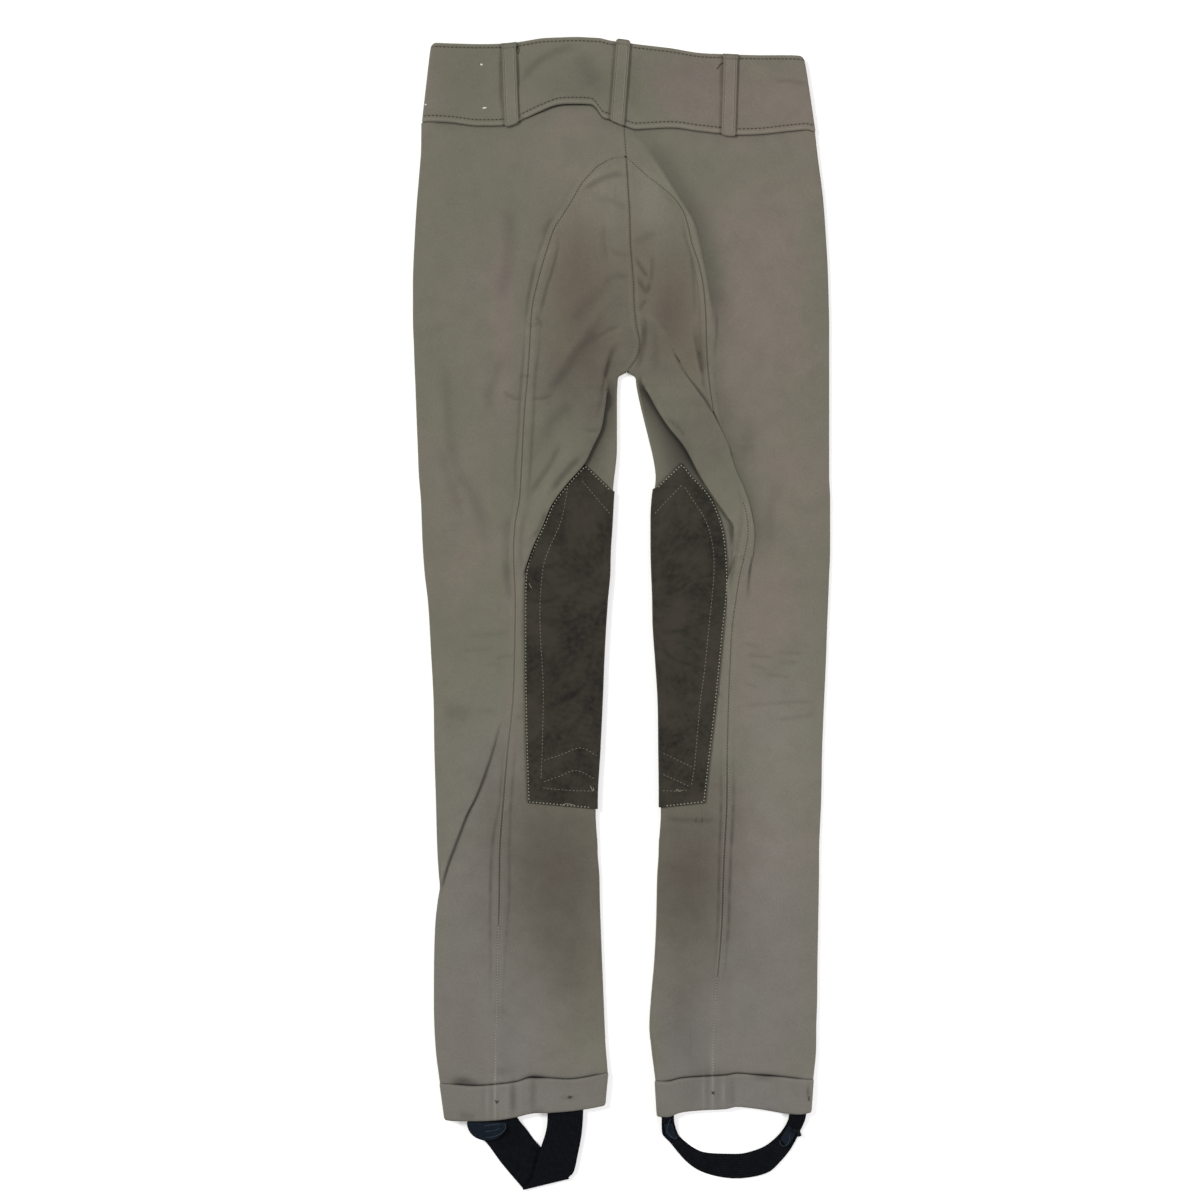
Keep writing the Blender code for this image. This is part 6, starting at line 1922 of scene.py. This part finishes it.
def build_sewing(shells):
    names = ("band", "cuff_left", "cuff_right", "patch_left", "patch_right")
    tops = {name: Top(shells[name]) for name in names}
    tops["strap_left"] = Top(shells["strap_left"], shells["tab_left"])
    tops["strap_right"] = Top(shells["strap_right"], shells["tab_inner"], shells["tab_outer"])
    colours = {name: thread_material(name) for name in THREADS}
    # the waistband
    sewing = Thread(0.9)
    xs = stepped(-163.5, 157.0)
    top = [(x, float(read(BAND_EDGES, "top", x)) + BAND_STITCH_TOP) for x in xs]
    xs = stepped(-166.5, 161.5)
    bottom = [(x, float(read(BAND_EDGES, "bottom", x)) - BAND_STITCH_BOTTOM) for x in xs]
    for path in (top, bottom):
        sewing.sew(tops["band"], path, 3.35, 2.3, sunk=0.1, skip=under_loop)
    sewing.make("waistband_topstitch", colours["deep"], "cloth")
    # the belt loops
    sewing, light = Thread(0.5), Thread(0.65)
    for name, (top_x, bottom_x) in LOOPS.items():
        loop = Top(shells[f"loop_{name}"])
        for side in (-1, 1):
            path = []
            for level in np.linspace(0.07, 0.95, 30):
                x = top_x + (bottom_x - top_x) * level + side * (LOOP_WIDTH / 2 - 1.9)
                first, last = loop_edges(name, x)
                path.append((x, float(first * (1 - level) + last * level)))
            sewing.sew(loop, path, 1.9, 0.8, sunk=0.05)
            light.sew(loop, path, 1.9, 1.0, sunk=0.0, aside=side * 0.55)
    sewing.make("belt_loop_stitches", colours["dark"], "cloth")
    light.make("belt_loop_beads", colours["bright"], "cloth")
    # the saddle, centre-back and leg seams
    sewing, light, worn = Thread(0.8), Thread(0.65), Thread(0.75)
    for leg in SIDES:
        cloth = Top(shells[f"outer_{leg}"], shells[f"seat_{leg}"])
        worn.sew(cloth, seam_path(leg, "seam", PALE_SEAM[leg], CUFF_LINE - 1), 2.4, 1.3, sunk=0.05)
        for start, end in ((SADDLE_TOP + 4, 300), (300, 480), (480, 640), (640, PALE_SEAM[leg])):
            path = seam_path(leg, "seam", start, end)
            hidden = None if leg == "left" else under_roll
            sewing.sew(cloth, path, 2.4, 1.2, sunk=0.15, skip=hidden)
            for side in (-1, 1):
                light.sew(cloth, path, 2.4, 1.1, sunk=-0.05, aside=1.2 * side, skip=hidden)
    cloth = Top(shells["seat_left"], shells["seat_right"], shells["outer_left"], shells["outer_right"])
    path = seam_path("right", "inner", WAIST_LINE + 2, CROTCH - 2)
    sewing.sew(cloth, path, 2.4, 1.3, sunk=0.1, skip=at_meeting)
    sewing.make("seam_stitches", colours["dark"], "cloth")
    light.make("seam_beads", colours["tone"], "cloth")
    worn.make("seam_stitches_at_hems", colours["bright"], "cloth")
    # the knee patches
    sewing, slanted = Thread(0.42), Thread(0.8)
    for leg in SIDES:
        patch = tops[f"patch_{leg}"]
        for points in PATCH_STITCH[leg]:
            path = in_pixels(points)
            sewing.sew(patch, course(path) if len(path) > 3 else path, 3.1, 2.2, sunk=0.08)
        slanted.sew(patch, patch_edge_path(leg), 2.9, 1.2, sunk=-0.15, swing=0.35)
    sewing.make("patch_stitches", colours["pale"], "suede")
    slanted.make("patch_edge_stitches", colours["bright"], "suede")
    for name, width, colour, slot, rise, courses in LAID:
        thread = Thread(width)
        for piece, points, *own_width in courses:
            thread.strand(tops[piece], in_pixels(points), rise, *own_width)
        thread.make(name, colours[colour], slot)


# ---- Materials ---------------------------------------------------------------------------------------------


class Material:
    """A material being wired."""

    def __init__(self, name):
        self.material = bpy.data.materials.new(name)
        self.material.use_nodes = True
        self.tree = self.material.node_tree
        self.shader = self.tree.nodes["Principled BSDF"]
        self.place = self.tree.nodes.new("ShaderNodeTexCoord").outputs["Object"]

    def node(self, kind, **settings):
        made = self.tree.nodes.new(kind)
        for key, value in settings.items():
            setattr(made, key, value)
        return made

    def join(self, source, target):
        self.tree.links.new(source, target)

    def noise(self, scale, detail=2.0, roughness=0.5, stretch=None):
        made = self.node("ShaderNodeTexNoise")
        made.inputs["Scale"].default_value = scale
        made.inputs["Detail"].default_value = detail
        made.inputs["Roughness"].default_value = roughness
        place = self.place
        if stretch:
            mapping = self.node("ShaderNodeMapping")
            mapping.inputs["Scale"].default_value = stretch
            self.join(place, mapping.inputs["Vector"])
            place = mapping.outputs["Vector"]
        self.join(place, made.inputs["Vector"])
        return made.outputs["Fac"]

    def attribute(self, name):
        return self.node("ShaderNodeAttribute", attribute_name=name).outputs["Fac"]

    def ramp(self, source, low, high, start=0.0, end=1.0):
        """A value that runs from start to end as the source runs from low to high."""
        made = self.node("ShaderNodeMapRange")
        for name, value in (("From Min", low), ("From Max", high), ("To Min", start), ("To Max", end)):
            made.inputs[name].default_value = value
        self.join(source, made.inputs["Value"])
        return made.outputs["Result"]

    def sum(self, first, second):
        """The sum of two values, kept from 0 to 1."""
        made = self.node("ShaderNodeMath", operation="ADD", use_clamp=True)
        self.join(first, made.inputs[0])
        self.join(second, made.inputs[1])
        return made.outputs[0]

    def grey(self, value):
        made = self.node("ShaderNodeCombineColor")
        for socket in made.inputs[:3]:
            self.join(value, socket)
        return made.outputs[0]

    def mix(self, factor, first, second, blend="MIX"):
        """A mix of two colours, each a triple or another node's output."""
        made = self.node("ShaderNodeMix", data_type="RGBA", blend_type=blend)
        for value, socket in ((factor, made.inputs[0]), (first, made.inputs[6]), (second, made.inputs[7])):
            if isinstance(value, (int, float)):
                socket.default_value = value
            elif isinstance(value, tuple):
                socket.default_value = (*value, 1)
            else:
                self.join(value, socket)
        return made.outputs[2]

    def times(self, colour, value):
        return self.mix(1.0, colour, self.grey(value), "MULTIPLY")

    def shaded(self, colour):
        """A colour darkened by the mesh's shade, or lightened where that is below zero."""
        return self.times(colour, self.ramp(self.attribute("shade"), -1, 1, 2, 0))

    def bump(self, height, distance, strength=1.0, before=None):
        made = self.node("ShaderNodeBump")
        made.inputs["Distance"].default_value = distance
        made.inputs["Strength"].default_value = strength
        self.join(height, made.inputs["Height"])
        if before:
            self.join(before, made.inputs["Normal"])
        return made.outputs["Normal"]

    def finish(self, colour, roughness, normal=None, sheen=0.0, specular=0.25):
        if colour:
            self.join(colour, self.shader.inputs["Base Color"])
        self.shader.inputs["Roughness"].default_value = roughness
        self.shader.inputs["Sheen Weight"].default_value = sheen
        self.shader.inputs["Specular IOR Level"].default_value = specular
        if normal:
            self.join(normal, self.shader.inputs["Normal"])
        return self.material


LIGHT = 1.12  # how much light falls on the cloth, for white that shows as 1


def srgb(r, g, b):
    """The colour of a surface that shows as these screen values under the scene's light."""
    return tuple(((v / 255 + 0.055) / 1.055) ** 2.4 / LIGHT for v in (r, g, b))


def cloth_material():
    m = Material("breeches_cloth")
    rosy = m.sum(m.attribute("rosy"), m.ramp(m.noise(13, 3), 0.35, 0.65, -0.35, 0.35))
    base = m.mix(rosy, srgb(113, 111, 98), srgb(124, 115, 107))
    base = m.mix(m.ramp(m.noise(70, 3), 0.35, 0.75, 0, 0.3), base, srgb(105, 101, 89))
    base = m.mix(m.attribute("tan"), base, srgb(110, 99, 86))
    base = m.mix(m.attribute("pale"), base, srgb(120, 117, 114))
    # brown cloth, and brown painted shade at the crotch and beside the flaps' and the roll's rims
    uneven = m.sum(m.attribute("brown_and_shade"), m.ramp(m.noise(60, 4, 0.6), 0.3, 0.7, -0.12, 0.12))
    base = m.mix(uneven, base, srgb(87, 81, 73))
    base = m.shaded(base)
    for scale, depth in ((1100, 0.07), (560, 0.03)):
        speckle = m.ramp(m.noise(scale, 2, 0.6), 0.35, 0.65, 1 - depth, 1 + depth)
        base = m.times(base, speckle)
    bump = m.bump(m.noise(1500, 2), 0.0002, 0.3)
    bump = m.bump(m.noise(160, 3), 0.0006, 0.12, bump)
    return m.finish(base, 0.85, bump, 0.04)


def suede_material():
    m = Material("breeches_suede")
    base = m.mix(m.ramp(m.noise(34, 5, 0.65), 0.37, 0.63), srgb(23, 22, 18), srgb(56, 52, 44))
    base = m.mix(m.ramp(m.noise(260, 3), 0.3, 0.7, 0, 0.55), base, srgb(61, 56, 46))
    base = m.shaded(base)
    bump = m.bump(m.noise(900, 3), 0.0003, 0.5)
    return m.finish(base, 0.92, bump, 0.12)


# Two colours for each kind of thread, between which it varies.
THREADS = {
    "dark": ((60, 54, 46), (74, 68, 58)),
    "pale": ((128, 126, 110), (152, 150, 132)),
    "tone": ((140, 137, 124), (154, 150, 136)),
    "white": ((214, 214, 210), (236, 236, 232)),
    "deep": ((50, 44, 37), (64, 57, 48)),
    "bright": ((158, 156, 140), (176, 173, 156)),
    "rim": ((38, 54, 66), (50, 68, 80)),
    "black": ((14, 17, 22), (20, 23, 29)),
}


def thread_material(name):
    m = Material(f"thread_{name}")
    first, second = THREADS[name]
    base = m.mix(m.ramp(m.noise(700, 2), 0.35, 0.65), srgb(*first), srgb(*second))
    return m.finish(base, 0.7)


def elastic_material():
    m = Material("breeches_elastic")
    base = m.mix(m.ramp(m.noise(300, 2), 0.3, 0.7), srgb(6, 8, 12), srgb(14, 16, 22))
    base = m.shaded(base)
    return m.finish(base, 0.9, specular=0.08)


def tab_material():
    m = Material("breeches_tab")
    base = m.mix(m.ramp(m.noise(400, 2), 0.3, 0.7), srgb(12, 19, 28), srgb(20, 29, 39))
    return m.finish(base, 0.7, specular=0.12)


# ---- The garment -------------------------------------------------------------------------------------------


def build_garment():
    cloth, suede, elastic, tab = cloth_material(), suede_material(), elastic_material(), tab_material()
    shells = {}
    for leg in SIDES:
        shells[f"outer_{leg}"] = outer_panel(leg, cloth)
        shells[f"seat_{leg}"] = seat_panel(leg, cloth)
        shells[f"patch_{leg}"] = knee_patch(leg, suede)
        shells[f"cuff_{leg}"] = cuff(leg, cloth)
    shells["band"] = waistband(cloth)
    fly_flap(cloth)
    for name in LOOPS:
        shells[f"loop_{name}"] = belt_loop(name, cloth)
    shells["strap_left"] = foot_strap_left(elastic)
    shells["strap_right"] = foot_strap_right(elastic)
    shells["tab_left"] = half_round_tab("strap_tab_left", LEFT_TAB_LIFT, -113.0, 909.4, 16.6, 15.6, tab)
    shells["tab_inner"] = strap_tab("strap_tab_right_inner", "right", 17.0, 32.0, (0.15, 0.8), tab)
    shells["tab_outer"] = strap_tab("strap_tab_right_outer", "right", 166.0, 152.0, (0.15, 0.8), tab)
    return shells


# ---- Floor, light and camera -------------------------------------------------------------------------------

CAMERA_X, CAMERA_Y = -18.06, 11.84  # above this place
CAMERA_HEIGHT = 2000.0
FRAME_WIDTH = 1008.0  # that the picture is wide at the garment
SENSOR = 36.0
FLOOR_HALF = 40.0  # metres, so that a low side view does not show its end
FLOOR_DROP = 0.0002  # metres below the garment
FLOOR_COLOUR = 0.94
FLOOR_GLOW = 0.3
WORLD_STRENGTH = 0.32
# Each light's name, place in metres, size, power and colour.
LIGHTS = (
    ("left_key", (-6.14, 3.55, 5.54), 3.0, 640.0, (1.0, 0.995, 0.955)),
    ("right_key", (3.24, -0.87, 2.18), 1.4, 97.0, (1.0, 0.965, 0.975)),
)


def add_light(name, place, size, power, colour):
    """A round light that points at the garment's middle."""
    data = bpy.data.lights.new(name, "AREA")
    data.shape = "DISK"
    data.size, data.energy, data.color = size, power, colour
    thing = bpy.data.objects.new(name, data)
    thing.location = place
    thing.rotation_euler = (-Vector(place)).to_track_quat("-Z", "Y").to_euler()
    bpy.context.collection.objects.link(thing)


def build_scene():
    mesh = bpy.data.meshes.new("floor")
    corners = [(x * FLOOR_HALF, y * FLOOR_HALF, 0) for x, y in ((-1, -1), (1, -1), (1, 1), (-1, 1))]
    mesh.from_pydata(corners, [], [(0, 1, 2, 3)])
    m = Material("floor")
    m.shader.inputs["Emission Color"].default_value = (1, 1, 1, 1)
    m.shader.inputs["Emission Strength"].default_value = FLOOR_GLOW
    m.shader.inputs["Base Color"].default_value = (FLOOR_COLOUR, FLOOR_COLOUR, FLOOR_COLOUR, 1)
    mesh.materials.append(m.finish(None, 0.9))
    floor = bpy.data.objects.new("floor", mesh)
    floor.location.z = -FLOOR_DROP
    bpy.context.collection.objects.link(floor)
    world = bpy.data.worlds.new("studio")
    world.use_nodes = True
    world.node_tree.nodes["Background"].inputs["Color"].default_value = (1, 1, 1, 1)
    world.node_tree.nodes["Background"].inputs["Strength"].default_value = WORLD_STRENGTH
    bpy.context.scene.world = world
    for light in LIGHTS:
        add_light(*light)
    camera = bpy.data.cameras.new("camera")
    camera.sensor_width = SENSOR
    camera.lens = SENSOR * CAMERA_HEIGHT / FRAME_WIDTH
    thing = bpy.data.objects.new("camera", camera)
    thing.location = (CAMERA_X * MM, CAMERA_Y * MM, CAMERA_HEIGHT * MM)
    bpy.context.collection.objects.link(thing)
    bpy.context.scene.camera = thing
    bpy.context.scene.view_settings.view_transform = "Standard"


build_sewing(build_garment())
build_scene()
